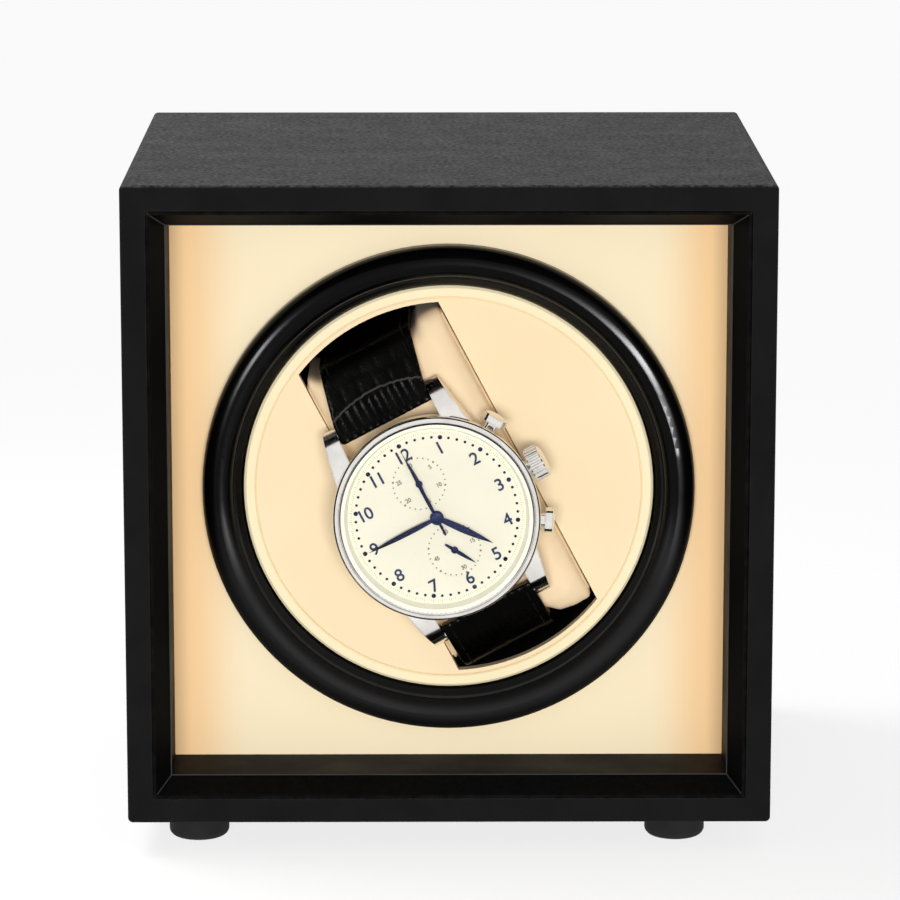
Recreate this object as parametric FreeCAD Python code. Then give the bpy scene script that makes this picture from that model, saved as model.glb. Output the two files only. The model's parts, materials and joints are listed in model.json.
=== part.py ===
import FreeCAD
import Part
import math
import os

# A single watch winder: a leatherette-covered box whose motor turns a drum with a watch on its pillow.
# Millimetres, +Z up, front towards -Y. The origin is on the floor under the middle of the box.
# The box is worked out from the inside: watch, pillow, pocket, drum, bezel ring, fascia, frame, walls.

# Watch case, heights counted from the pillow it lies on
case_radius = 19.7
case_height = 7.2
case_back_height = 1.2
case_back_bevel = 1.0
bezel_overhang = 0.75
bezel_land = 0.7
bezel_height = 1.9
bezel_round = 1.0
bezel_edge = 0.3
crystal_ledge = 0.6
crystal_seat = 1.0
crystal_edge = 0.9
crystal_dome = 0.4
dial_thickness = 0.4
dial_room = 1.2
flange_slope = 0.8
plug_height = 0.6
plug_margin = 1.0
movement_gap = 2.6
subdial_margin = 4.7
subdial_centre_gap = 2.1
subdial_sink = 0.1
lug_overhang = 4.6
lug_thickness = 2.7
lug_drop = 0.3
lug_root_inset = 2.9
lug_hump = 1.6
lug_hump_height = 5.5
lug_tip_height = 2.4
lug_toe = 0.4
lug_heel = 2.2
lug_flank_angle = 49.5
spring_bar_radius = 0.75
spring_bar_rise = 2.0
spring_bar_inset = 1.6
spring_bar_seat = 1.0
crown_radius = 3.45
crown_length = 3.4
crown_gap = 0.35
crown_edge = 0.3
crown_dome = 0.7
crown_flutes = 20
crown_flute_radius = 0.35
pusher_radius = 2.5
pusher_cap = 1.9
pusher_edge = 0.4
pusher_gap = 0.8
pusher_stem_radius = 1.3
pusher_angle = 31.0
pusher_travel = 0.9
stem_inset = 0.3
stem_clearance = 0.05
pole_flat = 0.25

# Watch hands, set at a quarter to five; each reaches to within its gap of the dial flange or its subdial
hand_thickness = 0.15
hand_spacing = 0.45
first_hand_gap = 0.3
hour_hand_gap = 5.4
minute_hand_gap = 2.4
chrono_hand_gap = 2.6
chrono_hand_tail = 3.8
small_hand_gap = 0.4
small_hand_tail = 2.2
hour_hand_width = 1.3
minute_hand_width = 1.0
small_hand_width = 0.6
hand_neck_share = 0.3
hand_belly_share = 0.55
hand_hub_wall = 0.6
small_hub_wall = 0.35
hour_hand_angle = 142.5
minute_hand_angle = 270.0
small_seconds_angle = 149.0
arbor_radius = 0.32
arbor_step = 0.2
hand_clearance = 0.04

# Strap and buckle, wrapped round the pillow
strap_width = 20.0
strap_thickness = 2.2
strap_lug_thickness = 4.3
strap_head = 1.9
strap_bulge = 0.5
strap_settle_lead = 12.0
strap_ease = 0.15
strap_gap = 0.35
strap_overlap = 24.0
strap_end_z = 3.0
strap_top_shift = -1.2
keeper_ease = 0.5
keeper_thickness = 0.8
keeper_width = 4.5
keeper_spacing = 5.4
buckle_bar = 1.5
buckle_arm = 1.0
buckle_length = 10.0
tang_width = 1.6
tang_tip = 2.0
tang_thickness = 1.05

# Watch pillow, and where the watch lies on it
pillow_side = 5.4
pillow_end_run = 5.3
pillow_thickness = 33.0
pillow_corner = 3.4
pillow_edge_round = 2.4
pillow_edge_run = 4.5
pillow_edge_steps = 8
pillow_proud = 3.5
pillow_clearance = 0.3
watch_shift_across = -3.8
watch_shift_along = -2.1
watch_tilt = 27.8

# Drum that holds the pillow
pocket_wall = 0.6
pocket_floor = 1.4
pocket_room = 0.6
face_thickness = 2.5
face_margin = 0.95
face_recess = 0.3
drum_rim = 2.3
drum_ledge = 0.3
slot_end_gap = 0.85
seam_break = 0.25
drum_back_plate = 3.0
drum_hub_radius = 8.0
drum_hub_length = 3.0
drum_proud = 1.0
edge_break = 0.5

# Drive: spur gear on the drum, pinion on the geared motor
gear_module = 0.7
gear_teeth = 54
pinion_teeth = 18
pressure_angle = 20.0
gear_backlash = 0.16
gear_root_share = 1.25
gear_thickness = 5.0
gear_screw_circle = 12.0
gear_screw_angle = 30.0
gear_screw_count = 3
screw_sink_room = 0.3
shaft_radius = 2.5
bush_wall = 2.5
bush_flange = 1.5
bush_tail = 4.0
washer_thickness = 0.8
end_play = 0.3
running_clearance = 0.04
clip_thickness = 0.8
clip_groove = 0.75
clip_radius = 4.5
motor_shaft_radius = 2.0
motor_shaft_room = 0.5
gearbox_radius = 12.5
gearbox_length = 9.0
motor_radius = 10.2
motor_length = 19.4
motor_can_round = 1.0
motor_tail_radius = 3.6
motor_tail = 1.0
motor_flat = 8.2
motor_screw_inset = 3.8
motor_clearance = 3.0

# Bezel ring round the drum
ring_gap = 0.5
ring_width = 7.75
ring_height = 5.5
ring_lip = 1.55
ring_crest_share = 0.45
ring_spigot = 3.2
spigot_clearance = 0.2

# Box
fascia_margin = 6.1
fascia_thickness = 5.0
reveal_depth = 15.5
bevel_width = 3.4
bevel_depth = 5.6
bead_radius = 0.4
board_thickness = 4.2
wrap_thickness = 0.8
wrap_round = 1.0
panel_clearance = 0.3
bulkhead_thickness = 4.0
batten_width = 10.0
rear_panel_thickness = 4.0
rear_recess = 3.0
foot_height = 6.0
foot_radius = 6.0
foot_round = 1.6
foot_inset_side = 15.9
foot_inset_front = 13.5
foot_shift = -2.4

# Screws
screw_radius = 1.5
screw_head_radius = 2.8
screw_head_height = 2.0
screw_length = 10.0
small_screw_radius = 1.0
small_screw_head_radius = 1.9
small_screw_head_height = 1.2
small_screw_length = 6.0
pan_edge_share = 0.4
pan_dome_share = 0.82
pan_shoulder_share = 0.86
pan_crown_share = 0.45
recess_reach_share = 0.6
recess_half_share = 0.13
recess_depth_share = 0.55

# Electrics on the bulkhead and the rear panel
board_width = 44.0
board_height = 24.0
board_sheet = 1.6
standoff_height = 4.0
standoff_radius = 2.4
socket_radius = 4.0
socket_flange_radius = 5.6
socket_flange = 1.4
socket_length = 13.0
socket_bore_radius = 2.8
socket_bore_depth = 9.5
socket_pin_radius = 1.05
socket_pin_tip = 0.6
socket_pin_inset = 2.8
socket_edge = 0.55
socket_nut_height = 2.4
socket_nut_radius = 7.0
switch_width = 16.0
switch_height = 7.0
switch_depth = 6.0
switch_travel = 3.0
switch_knob_width = 4.5
switch_knob_height = 3.6
switch_knob_proud = 2.0
knob_groove = 0.5
knob_groove_pitch = 1.25
slide_clearance = 0.3
socket_offset = 22.0
lead_radius = 0.5
lead_bend = 3.0
lead_gap = 0.2
lead_count = 6
chip_width = 7.6
chip_length = 7.2
chip_height = 1.6
terminal_width = 7.7
terminal_length = 8.4
terminal_height = 6.0
terminal_place = -12.65
capacitor_radius = 3.6
capacitor_place = 12.1

# Smallest lengths that count, and the share of a radius at which an arc's middle lies
tiny = 1e-7
slant = math.sqrt(0.5)

# Radii of the watch
crystal_radius = case_radius - bezel_land
cavity_radius = crystal_radius - crystal_ledge
flange_radius = cavity_radius - flange_slope
movement_radius = cavity_radius - movement_gap
bezel_radius = case_radius + bezel_overhang
subdial_radius = (flange_radius - subdial_margin - subdial_centre_gap) / 2.0
subdial_distance = subdial_centre_gap + subdial_radius
lug_reach = case_radius + lug_overhang
spring_bar_reach = lug_reach - spring_bar_inset
strap_end_reach = spring_bar_reach - strap_head
strap_side_gap = strap_width / 2.0 + stem_clearance

# Heights of the watch's layers above the pillow
case_top = case_back_height + case_height
dial_top = case_top - dial_room
crystal_bottom = case_top + crystal_seat
bezel_top = case_top + bezel_height
crown_height = case_back_height + case_height / 2.0
spring_bar_height = case_back_height + spring_bar_rise

# Pillow, sized to the watch that lies on it
pillow_width = strap_width + 2.0 * pillow_side
pillow_length = 2.0 * (lug_reach + abs(watch_shift_along) + pillow_end_run)

# Depths, counted back from the front of the box
fascia_front = bevel_depth + reveal_depth
fascia_back = fascia_front + fascia_thickness
drum_front = fascia_front - drum_proud
face_front = drum_front + face_recess
face_back = face_front + face_thickness
pillow_front = face_front - pillow_proud
pillow_back = pillow_front + pillow_thickness
strap_back = pillow_back + strap_ease + keeper_thickness
strap_outer_layer = strap_back + strap_thickness + strap_ease
strap_outside = strap_outer_layer + strap_thickness
keeper_back = strap_outside + strap_ease + keeper_thickness
buckle_back = strap_outside + buckle_bar
pocket_back = max(keeper_back, buckle_back) + pocket_room
hub_front = pocket_back + pocket_floor + end_play
drum_back_inside = hub_front + drum_hub_length
drum_back = drum_back_inside + drum_back_plate
gear_back = drum_back + gear_thickness
washer_back = gear_back + washer_thickness
bush_front = washer_back + end_play
bulkhead_front = bush_front + bush_flange
bulkhead_back = bulkhead_front + bulkhead_thickness
bush_back = bulkhead_back + bush_tail
clip_front = bush_back + end_play
clip_back = clip_front + clip_thickness
shaft_back = clip_back + 2.0 * clip_thickness
gearbox_back = bulkhead_back + gearbox_length
motor_back = gearbox_back + motor_length
rear_panel_front = motor_back + motor_clearance
rear_panel_back = rear_panel_front + rear_panel_thickness
box_depth = rear_panel_back + rear_recess
front_y = -box_depth / 2.0

# Radii and widths about the drum's axis
strap_far_edge = abs(watch_shift_across) + strap_width / 2.0
buckle_far_edge = strap_far_edge + keeper_ease + buckle_arm
slot_half = max(pillow_width / 2.0 + pillow_clearance, buckle_far_edge + strap_gap)
strap_half_loop = pillow_length / 2.0 + strap_ease
slot_end_radius = math.hypot(strap_far_edge, strap_half_loop + strap_thickness) + slot_end_gap
face_radius = slot_end_radius + face_margin
drum_radius = face_radius + drum_rim
drum_bore_radius = face_radius - drum_ledge
ring_inner_radius = drum_radius + ring_gap
ring_outer_radius = ring_inner_radius + ring_width
spigot_radius = ring_inner_radius + ring_spigot
bush_radius = shaft_radius + bush_wall
gear_pitch_radius = gear_module * gear_teeth / 2.0
pinion_pitch_radius = gear_module * pinion_teeth / 2.0
motor_drop = gear_pitch_radius + pinion_pitch_radius

# Box widths and heights
opening = 2.0 * (ring_outer_radius + fascia_margin)
inside = opening + 2.0 * bevel_width
wall = board_thickness + wrap_thickness
box_width = inside + 2.0 * wall
drum_centre_z = foot_height + box_width / 2.0
inside_half = inside / 2.0

# Frame directions
ORIGIN = FreeCAD.Vector(0, 0, 0)
ALONG_X = FreeCAD.Vector(1, 0, 0)
ALONG_Y = FreeCAD.Vector(0, 1, 0)
ALONG_Z = FreeCAD.Vector(0, 0, 1)


def at(x, depth, z):
    """The point at a depth behind the box's front plane."""
    return FreeCAD.Vector(x, front_y + depth, z)


def above_pillow(height):
    """The depth of a layer of the watch that lies this high above the pillow's front."""
    return pillow_front - height


def outline_face(outline, place):
    """A flat face inside an outline; a step of two points is an arc through the first to the second."""
    edges = []
    here = outline[0]
    for step in outline[1:] + [outline[0]]:
        if isinstance(step[0], tuple):
            through, end = step
            edges.append(Part.Arc(place(*here), place(*through), place(*end)).toShape())
        else:
            end = step
            if math.dist(here, end) > tiny:
                edges.append(Part.LineSegment(place(*here), place(*end)).toShape())
        here = end
    return Part.Face(Part.Wire(edges))


def turned(outline):
    """A solid of revolution about the Y axis; the outline is (radius, depth)."""
    face = outline_face(outline, lambda radius, depth: at(radius, depth, 0))
    return face.revolve(ORIGIN, ALONG_Y, 360)


def turned_x(outline, depth):
    """A solid of revolution about an X line at this depth; the outline is (x, radius)."""
    face = outline_face(outline, lambda x, radius: at(x, depth, radius))
    return face.revolve(at(0, depth, 0), ALONG_X, 360)


def plate(outline, depth_front, depth_back):
    """A plate whose outline is (x, z), between two depths."""
    face = outline_face(outline, lambda x, z: at(x, depth_front, z))
    return face.extrude(ALONG_Y * (depth_back - depth_front))


def slab(outline, x_low, x_high):
    """A slab whose side outline is (z, depth), between two places across the watch."""
    face = outline_face(outline, lambda z, depth: at(x_low, depth, z))
    return face.extrude(ALONG_X * (x_high - x_low))


def block(x_low, x_high, depth_front, depth_back, z_low, z_high):
    """A box between two corners."""
    size = (x_high - x_low, depth_back - depth_front, z_high - z_low)
    return Part.makeBox(*size, at(x_low, depth_front, z_low))


def centred_block(x, width, depth_front, depth, z, height):
    """A box whose front face is centred on a place."""
    half_x = width / 2.0
    half_z = height / 2.0
    return block(x - half_x, x + half_x, depth_front, depth_front + depth, z - half_z, z + half_z)


def rod(x, z, radius, depth_front, depth_back):
    """A cylinder along Y between two depths."""
    return Part.makeCylinder(radius, depth_back - depth_front, at(x, depth_front, z), ALONG_Y)


def rod_x(radius, x_low, x_high, depth, z=0.0):
    """A cylinder along X."""
    return Part.makeCylinder(radius, x_high - x_low, at(x_low, depth, z), ALONG_X)


def turn(shape, degrees):
    """A copy turned about the Y axis, clockwise as seen from the front."""
    moved = shape.copy()
    moved.rotate(ORIGIN, ALONG_Y, degrees)
    return moved


def shift(shape, x=0.0, y=0.0, z=0.0):
    """A copy moved by this much."""
    moved = shape.copy()
    moved.translate(FreeCAD.Vector(x, y, z))
    return moved


def on_axis(shape):
    """A shape made about the Y axis, put on the drum's axis."""
    return shift(shape, z=drum_centre_z)


def on_drum(shape):
    """A shape made upright about the drum's axis, tilted with the drum and put in its place."""
    return on_axis(turn(shape, -watch_tilt))


def on_watch(shape):
    """A shape made upright about the watch's centre, put where the watch lies."""
    return on_drum(shift(shape, x=watch_shift_across, z=watch_shift_along))


def in_four_corners(shape, half_width, half_height):
    """Four copies at the corners of a rectangle about the drum's axis."""
    corners = [(sx * half_width, sz * half_height) for sx in (-1, 1) for sz in (-1, 1)]
    return [on_axis(shift(shape, x=x, z=z)) for x, z in corners]


def pan_screw(radius, length, head_radius, head_height, depth):
    """A cross-headed screw on the Y axis: its head seats at this depth, its shank runs to the front."""
    head_top = depth + head_height
    shoulder = (pan_shoulder_share * head_radius, depth + pan_dome_share * head_height)
    outline = [
        (0, depth - length),
        (radius, depth - length),
        (radius, depth),
        (head_radius, depth),
        (head_radius, depth + pan_edge_share * head_height),
        (shoulder, (pan_crown_share * head_radius, head_top)),
        (0, head_top),
    ]
    arm = recess_reach_share * head_radius
    half = recess_half_share * head_radius
    sink = head_top - recess_depth_share * head_height
    bars = [
        block(-arm, arm, sink, head_top, -half, half),
        block(-half, half, sink, head_top, -arm, arm),
    ]
    return turned(outline).cut(bars)


def mitred_board(half_outer, thickness, depth_front, depth_back):
    """A board along the bottom of a square of this half width, mitred at both ends."""
    half_inner = half_outer - thickness
    outline = [
        (-half_outer, -half_outer),
        (half_outer, -half_outer),
        (half_inner, -half_inner),
        (-half_inner, -half_inner),
    ]
    return plate(outline, depth_front, depth_back)


def carcass():
    """The four mitred boards under the leatherette: bottom, left, top and right."""
    half = box_width / 2.0 - wrap_thickness
    board = mitred_board(half, board_thickness, wrap_thickness, box_depth)
    boards = [on_axis(turn(board, quarter * 90.0)) for quarter in range(4)]
    return {"carcass_boards": Part.makeCompound(boards)}


def outer_wrap():
    """The leatherette skin that covers the four boards and turns over their front edges."""
    half = box_width / 2.0
    skin = block(-half, half, 0, box_depth, -half, half)
    rounded = [edge for edge in skin.Edges if edge.CenterOfMass.y < tiny]
    skin = skin.makeFillet(wrap_round, rounded)
    inner = half - wrap_thickness
    skin = skin.cut(block(-inner, inner, wrap_thickness, box_depth, -inner, inner))
    skin = skin.cut(block(-inside_half, inside_half, 0, box_depth, -inside_half, inside_half))
    return {"outer_wrap": on_axis(skin)}


def front_frame():
    """The four mitred mouldings of the front: a fine bead, a bevel and a straight reveal."""
    bead_end = 2.0 * bead_radius
    section = [
        (0, bead_radius),
        ((bead_radius, 0), (bead_end, bead_radius)),
        (bevel_width, bevel_depth),
        (bevel_width, fascia_front),
        (0, fascia_front),
    ]
    face = outline_face(section, lambda rise, depth: at(-inside_half, depth, rise - inside_half))
    strip = face.extrude(ALONG_X * inside)
    strip = strip.common(mitred_board(inside_half, bevel_width, 0, fascia_front))
    sides = {"frame_bottom": 0, "frame_left": 90, "frame_top": 180, "frame_right": 270}
    return {name: on_axis(turn(strip, angle)) for name, angle in sides.items()}


def fascia_panel():
    """The covered board behind the frame, with the round hole that the bezel ring plugs into."""
    half = inside_half - panel_clearance
    board = block(-half, half, fascia_front, fascia_back, -half, half)
    hole = rod(0, 0, spigot_radius + spigot_clearance, fascia_front, fascia_back)
    return {"fascia_panel": on_axis(board.cut(hole))}


def bezel_ring():
    """The moulded ring: a round outer roll, a fine groove, an inner lip and a spigot through the fascia."""
    lip_radius = ring_inner_radius + ring_lip
    roll_inner = (ring_outer_radius - lip_radius) * ring_crest_share
    roll_outer = (ring_outer_radius - lip_radius) * (1.0 - ring_crest_share)
    crest_radius = ring_outer_radius - roll_outer
    crest = fascia_front - ring_height
    outer_mid = (crest_radius + roll_outer * slant, crest + roll_outer * (1 - slant))
    inner_mid = (crest_radius - roll_inner * slant, crest + roll_inner * (1 - slant))
    groove = crest + roll_inner
    lip_front = groove - edge_break
    lip_edge = drum_front - edge_break
    outline = [
        (ring_outer_radius, fascia_front),
        (ring_outer_radius, crest + roll_outer),
        (outer_mid, (crest_radius, crest)),
        (inner_mid, (lip_radius, groove)),
        (lip_radius - edge_break, lip_front + edge_break),
        (ring_inner_radius, lip_edge),
        (ring_inner_radius, fascia_back),
        (spigot_radius, fascia_back),
        (spigot_radius, fascia_front),
    ]
    return {"bezel_ring": on_axis(turned(outline))}


def rubber_feet():
    """Four stick-on feet with rounded soles, set a little to one side as in the photo."""
    flat = foot_radius - foot_round
    sole_mid = (flat + foot_round * slant, foot_round * (1 - slant))
    outline = [(0, 0), (flat, 0), (sole_mid, (foot_radius, foot_round)), (foot_radius, foot_height)]
    outline = outline + [(0, foot_height)]
    face = outline_face(outline, lambda radius, z: FreeCAD.Vector(radius, 0, z))
    foot = face.revolve(ORIGIN, ALONG_Z, 360)
    x = box_width / 2.0 - foot_inset_side
    y = box_depth / 2.0 - foot_inset_front
    places = [(foot_shift + sx * x, sy * y) for sx in (-1, 1) for sy in (-1, 1)]
    return {"rubber_feet": Part.makeCompound([shift(foot, px, py) for px, py in places])}


def batten_centre():
    """How far a corner batten's middle is from the drum's axis, both ways."""
    return inside_half - batten_width / 2.0


def rear_structure():
    """The bulkhead that carries the drive, the corner battens and the rear panel, with their screws."""
    half = inside_half - panel_clearance
    place = batten_centre()
    shank = rod(0, 0, screw_radius, bulkhead_front, rear_panel_back)
    shanks = [shift(shank, sx * place, 0, sz * place) for sx in (-1, 1) for sz in (-1, 1)]
    bulkhead = block(-half, half, bulkhead_front, bulkhead_back, -half, half)
    motor_hole = rod(0, -motor_drop, motor_shaft_radius + motor_shaft_room, bulkhead_front, bulkhead_back)
    bush_hole = rod(0, 0, bush_radius, bulkhead_front, bulkhead_back)
    screw_hole = rod(0, 0, small_screw_radius, bulkhead_front, bulkhead_back)
    motor_holes = [shift(screw_hole, x, 0, -motor_drop) for x in motor_screw_places()]
    bulkhead = bulkhead.cut(shanks + [motor_hole, bush_hole] + motor_holes + board_screw_tools())
    side = batten_width / 2.0
    batten = block(-side, side, bulkhead_back, rear_panel_front, -side, side)
    batten = batten.cut(rod(0, 0, screw_radius, bulkhead_back, rear_panel_front))
    rear = block(-half, half, rear_panel_front, rear_panel_back, -half, half)
    rear = rear.cut(shanks + rear_panel_cuts())
    rear_screw = pan_screw(
        screw_radius, screw_length, screw_head_radius, screw_head_height, rear_panel_back
    )
    front_screw = face_about(
        pan_screw(screw_radius, screw_length, screw_head_radius, screw_head_height, -bulkhead_front)
    )
    return {
        "bulkhead": on_axis(bulkhead),
        "corner_battens": Part.makeCompound(in_four_corners(batten, place, place)),
        "rear_panel": on_axis(rear),
        "bulkhead_screws": Part.makeCompound(in_four_corners(front_screw, place, place)),
        "rear_screws": Part.makeCompound(in_four_corners(rear_screw, place, place)),
    }


def motor_screw_places():
    """The two screws that hold the gearbox, counted from the motor's axis."""
    reach = gearbox_radius - motor_screw_inset
    return (-reach, reach)


def board_centre_z():
    """The control board's middle, above the drum's axis."""
    return inside_half - batten_width - board_height / 2.0 + standoff_radius


def board_corner_places():
    """The board's four standoffs, counted from the drum's axis."""
    x = board_width / 2.0 - standoff_radius
    z = board_height / 2.0 - standoff_radius
    middle = board_centre_z()
    return [(sx * x, middle + sz * z) for sx in (-1, 1) for sz in (-1, 1)]


def board_screw_tools():
    """Pilot holes in the bulkhead for the board's screws."""
    hole = rod(0, 0, small_screw_radius, bulkhead_front, bulkhead_back)
    return [shift(hole, x, 0, z) for x, z in board_corner_places()]


def small_screw(depth, forward=True):
    """A small screw on the Y axis, its head at this depth and its shank to the front or the back."""
    screw = pan_screw(
        small_screw_radius,
        small_screw_length,
        small_screw_head_radius,
        small_screw_head_height,
        depth if forward else -depth,
    )
    return screw if forward else face_about(screw)


def face_about(shape):
    """The shape turned half round at the front plane, so that its depths change sign."""
    moved = shape.copy()
    moved.rotate(FreeCAD.Vector(0, front_y, 0), ALONG_Z, 180)
    return moved


def control_board():
    """The circuit board on its standoffs, with a chip, a terminal block and a capacitor."""
    sheet_front = bulkhead_back + standoff_height
    sheet_back = sheet_front + board_sheet
    middle = board_centre_z()
    half_x = board_width / 2.0
    half_z = board_height / 2.0
    sheet = block(-half_x, half_x, sheet_front, sheet_back, middle - half_z, middle + half_z)
    holes = [rod(x, z, small_screw_radius, sheet_front, sheet_back) for x, z in board_corner_places()]
    standoffs = []
    for x, z in board_corner_places():
        post = rod(x, z, standoff_radius, bulkhead_back, sheet_front)
        standoffs.append(on_axis(post.cut(rod(x, z, small_screw_radius, bulkhead_back, sheet_front))))
    chip = centred_block(0.0, chip_width, sheet_back, chip_height, middle, chip_length)
    terminal = centred_block(
        terminal_place, terminal_width, sheet_back, terminal_height, middle, terminal_length
    )
    capacitor = rod(capacitor_place, middle, capacitor_radius, sheet_back, sheet_back + terminal_height)
    return {
        "control_board": on_axis(sheet.cut(holes)),
        "board_standoffs": Part.makeCompound(standoffs),
        "board_components": Part.makeCompound([on_axis(part) for part in (chip, terminal, capacitor)]),
    }


def small_screws():
    """The small screws of the control board and of the gearbox."""
    sheet_back = bulkhead_back + standoff_height + board_sheet
    board_screw = small_screw(sheet_back)
    motor_screw = small_screw(bulkhead_front, forward=False)
    board_screws = [on_axis(shift(board_screw, x=x, z=z)) for x, z in board_corner_places()]
    motor_screws = [on_axis(shift(motor_screw, x=x, z=-motor_drop)) for x in motor_screw_places()]
    return {
        "board_screws": Part.makeCompound(board_screws),
        "motor_screws": Part.makeCompound(motor_screws),
    }


def lead(points):
    """A round insulated wire along straight runs with round bends."""
    edges = []
    here = points[0]
    for index in range(1, len(points) - 1):
        corner = points[index]
        arrive = (corner - points[index - 1]).normalize()
        leave = (points[index + 1] - corner).normalize()
        bend_start = corner - arrive * lead_bend
        bend_end = corner + leave * lead_bend
        bend_middle = corner + (leave - arrive) * (lead_bend * (1.0 - slant))
        edges.append(Part.LineSegment(here, bend_start).toShape())
        edges.append(Part.Arc(bend_start, bend_middle, bend_end).toShape())
        here = bend_end
    edges.append(Part.LineSegment(here, points[-1]).toShape())
    ring = Part.makeCircle(lead_radius, points[0], points[1] - points[0])
    return Part.Wire(edges).makePipeShell([Part.Wire(ring)], True, False)


def internal_leads():
    """Three pairs of wires from the terminal block to the switch, the motor and the power socket."""
    spread = 2.0 * lead_radius + lead_gap
    first_x = terminal_place - spread * (lead_count - 1) / 2.0
    places = [first_x + index * spread for index in range(lead_count)]
    low = board_centre_z() - terminal_length / 2.0
    start = bulkhead_back + standoff_height + board_sheet + terminal_height / 2.0
    motor_end = motor_back + lead_radius + lead_gap / 2.0
    switch_end = rear_panel_front - switch_depth
    socket_end = rear_panel_back + socket_flange - socket_length
    crossing = low / 2.0
    leads = []
    ends = [
        (places[0], -socket_offset - spread, crossing, switch_end),
        (places[1], -socket_offset, crossing - spread, switch_end),
        (places[4], socket_offset - spread / 2.0, crossing - spread, socket_end),
        (places[5], socket_offset + spread / 2.0, crossing, socket_end),
    ]
    for x, end_x, cross_z, end_depth in ends:
        path = [(x, start, low), (x, start, cross_z), (end_x, start, cross_z)]
        path = path + [(end_x, start, control_height()), (end_x, end_depth, control_height())]
        leads.append(lead([at(*point) for point in path]))
    motor_x = motor_radius / 2.0
    for x, end_x, cross_z in ((places[2], -motor_x, 0.0), (places[3], motor_x, spread)):
        path = [(x, start, low), (x, start, cross_z), (x, motor_end, cross_z)]
        path = path + [(end_x, motor_end, cross_z), (end_x, motor_end, -motor_drop)]
        leads.append(lead([at(*point) for point in path]))
    return {"internal_leads": Part.makeCompound([on_axis(wire) for wire in leads])}


def control_height():
    """The height of the socket and the switch, below the drum's axis."""
    return -inside_half + batten_width + socket_flange_radius


def rear_panel_cuts():
    """The holes in the rear panel for the power socket and the direction switch."""
    z = control_height()
    socket = rod(socket_offset, z, socket_radius, rear_panel_front, rear_panel_back)
    half_x = switch_knob_width / 2.0 + switch_travel + slide_clearance
    half_z = switch_knob_height / 2.0 + slide_clearance
    slot = block(-half_x, half_x, rear_panel_front, rear_panel_back, z - half_z, z + half_z)
    return [socket, shift(slot, x=-socket_offset)]


def rear_controls():
    """The power socket with its nut, and the three-position direction switch."""
    z = control_height()
    flange_back = rear_panel_back + socket_flange
    barrel_front = flange_back - socket_length
    bore_front = flange_back - socket_bore_depth
    barrel = turned(
        [
            (0, barrel_front),
            (socket_radius, barrel_front),
            (socket_radius, rear_panel_back),
            (socket_flange_radius, rear_panel_back),
            (socket_flange_radius, flange_back - socket_edge),
            (socket_flange_radius - socket_edge, flange_back),
            (socket_bore_radius, flange_back),
            (socket_bore_radius, bore_front),
            (socket_pin_radius, bore_front),
            (socket_pin_radius, flange_back - socket_pin_inset),
            (0, flange_back - socket_pin_inset + socket_pin_tip),
        ]
    )
    nut_front = rear_panel_front - socket_nut_height
    corners = [math.radians(60 * corner) for corner in range(6)]
    hexagon = [(socket_nut_radius * math.cos(a), socket_nut_radius * math.sin(a)) for a in corners]
    nut = plate(hexagon, nut_front, rear_panel_front)
    nut = nut.cut(rod(0, 0, socket_radius, nut_front, rear_panel_front))
    half_w = switch_width / 2.0
    half_h = switch_height / 2.0
    body_front = rear_panel_front - switch_depth
    body = block(-half_w, half_w, body_front, rear_panel_front, -half_h, half_h)
    half_knob = switch_knob_width / 2.0
    half_knob_z = switch_knob_height / 2.0
    track_front = rear_panel_front - switch_depth / 2.0
    reach = half_knob + switch_travel + slide_clearance
    rise = half_knob_z + slide_clearance
    track = block(-reach, reach, track_front, rear_panel_front, -rise, rise)
    knob_back = rear_panel_back + switch_knob_proud
    knob_front = track_front + slide_clearance
    knob = block(-half_knob, half_knob, knob_front, knob_back, -half_knob_z, half_knob_z)
    groove_front = knob_back - knob_groove
    grooves = [
        centred_block(x, knob_groove, groove_front, knob_groove, 0.0, switch_knob_height)
        for x in (-knob_groove_pitch, 0.0, knob_groove_pitch)
    ]
    return {
        "power_socket": on_axis(shift(barrel, x=socket_offset, z=z)),
        "power_socket_nut": on_axis(shift(nut, x=socket_offset, z=z)),
        "switch_body": on_axis(shift(body.cut(track), x=-socket_offset, z=z)),
        "switch_knob": on_axis(shift(knob.cut(grooves), x=-socket_offset, z=z)),
    }


def gear_outline(teeth, first_angle):
    """A spur gear's outline as (x, z): involute flanks as arcs, radial roots below the base circle."""
    pitch = gear_module * teeth / 2.0
    base = pitch * math.cos(math.radians(pressure_angle))
    tip = pitch + gear_module
    root = pitch - gear_root_share * gear_module
    start = max(base, root)
    pressure = math.radians(pressure_angle)
    half_tooth = math.pi / (2.0 * teeth) - gear_backlash / (4.0 * pitch) + math.tan(pressure) - pressure

    def flank(radius):
        """Half the tooth's angle at this radius."""
        slope = math.acos(min(1.0, base / radius))
        return half_tooth - (math.tan(slope) - slope)

    def spot(radius, angle):
        """A point of the outline."""
        return (radius * math.cos(angle), radius * math.sin(angle))

    middle = (start + tip) / 2.0
    outline = []
    for tooth in range(teeth):
        axis = math.radians(first_angle) + 2.0 * math.pi * tooth / teeth
        outline.append(spot(root, axis - flank(start)))
        outline.append(spot(start, axis - flank(start)))
        outline.append((spot(middle, axis - flank(middle)), spot(tip, axis - flank(tip))))
        outline.append(spot(tip, axis + flank(tip)))
        outline.append((spot(middle, axis + flank(middle)), spot(start, axis + flank(start))))
        outline.append(spot(root, axis + flank(start)))
    return outline


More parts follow.
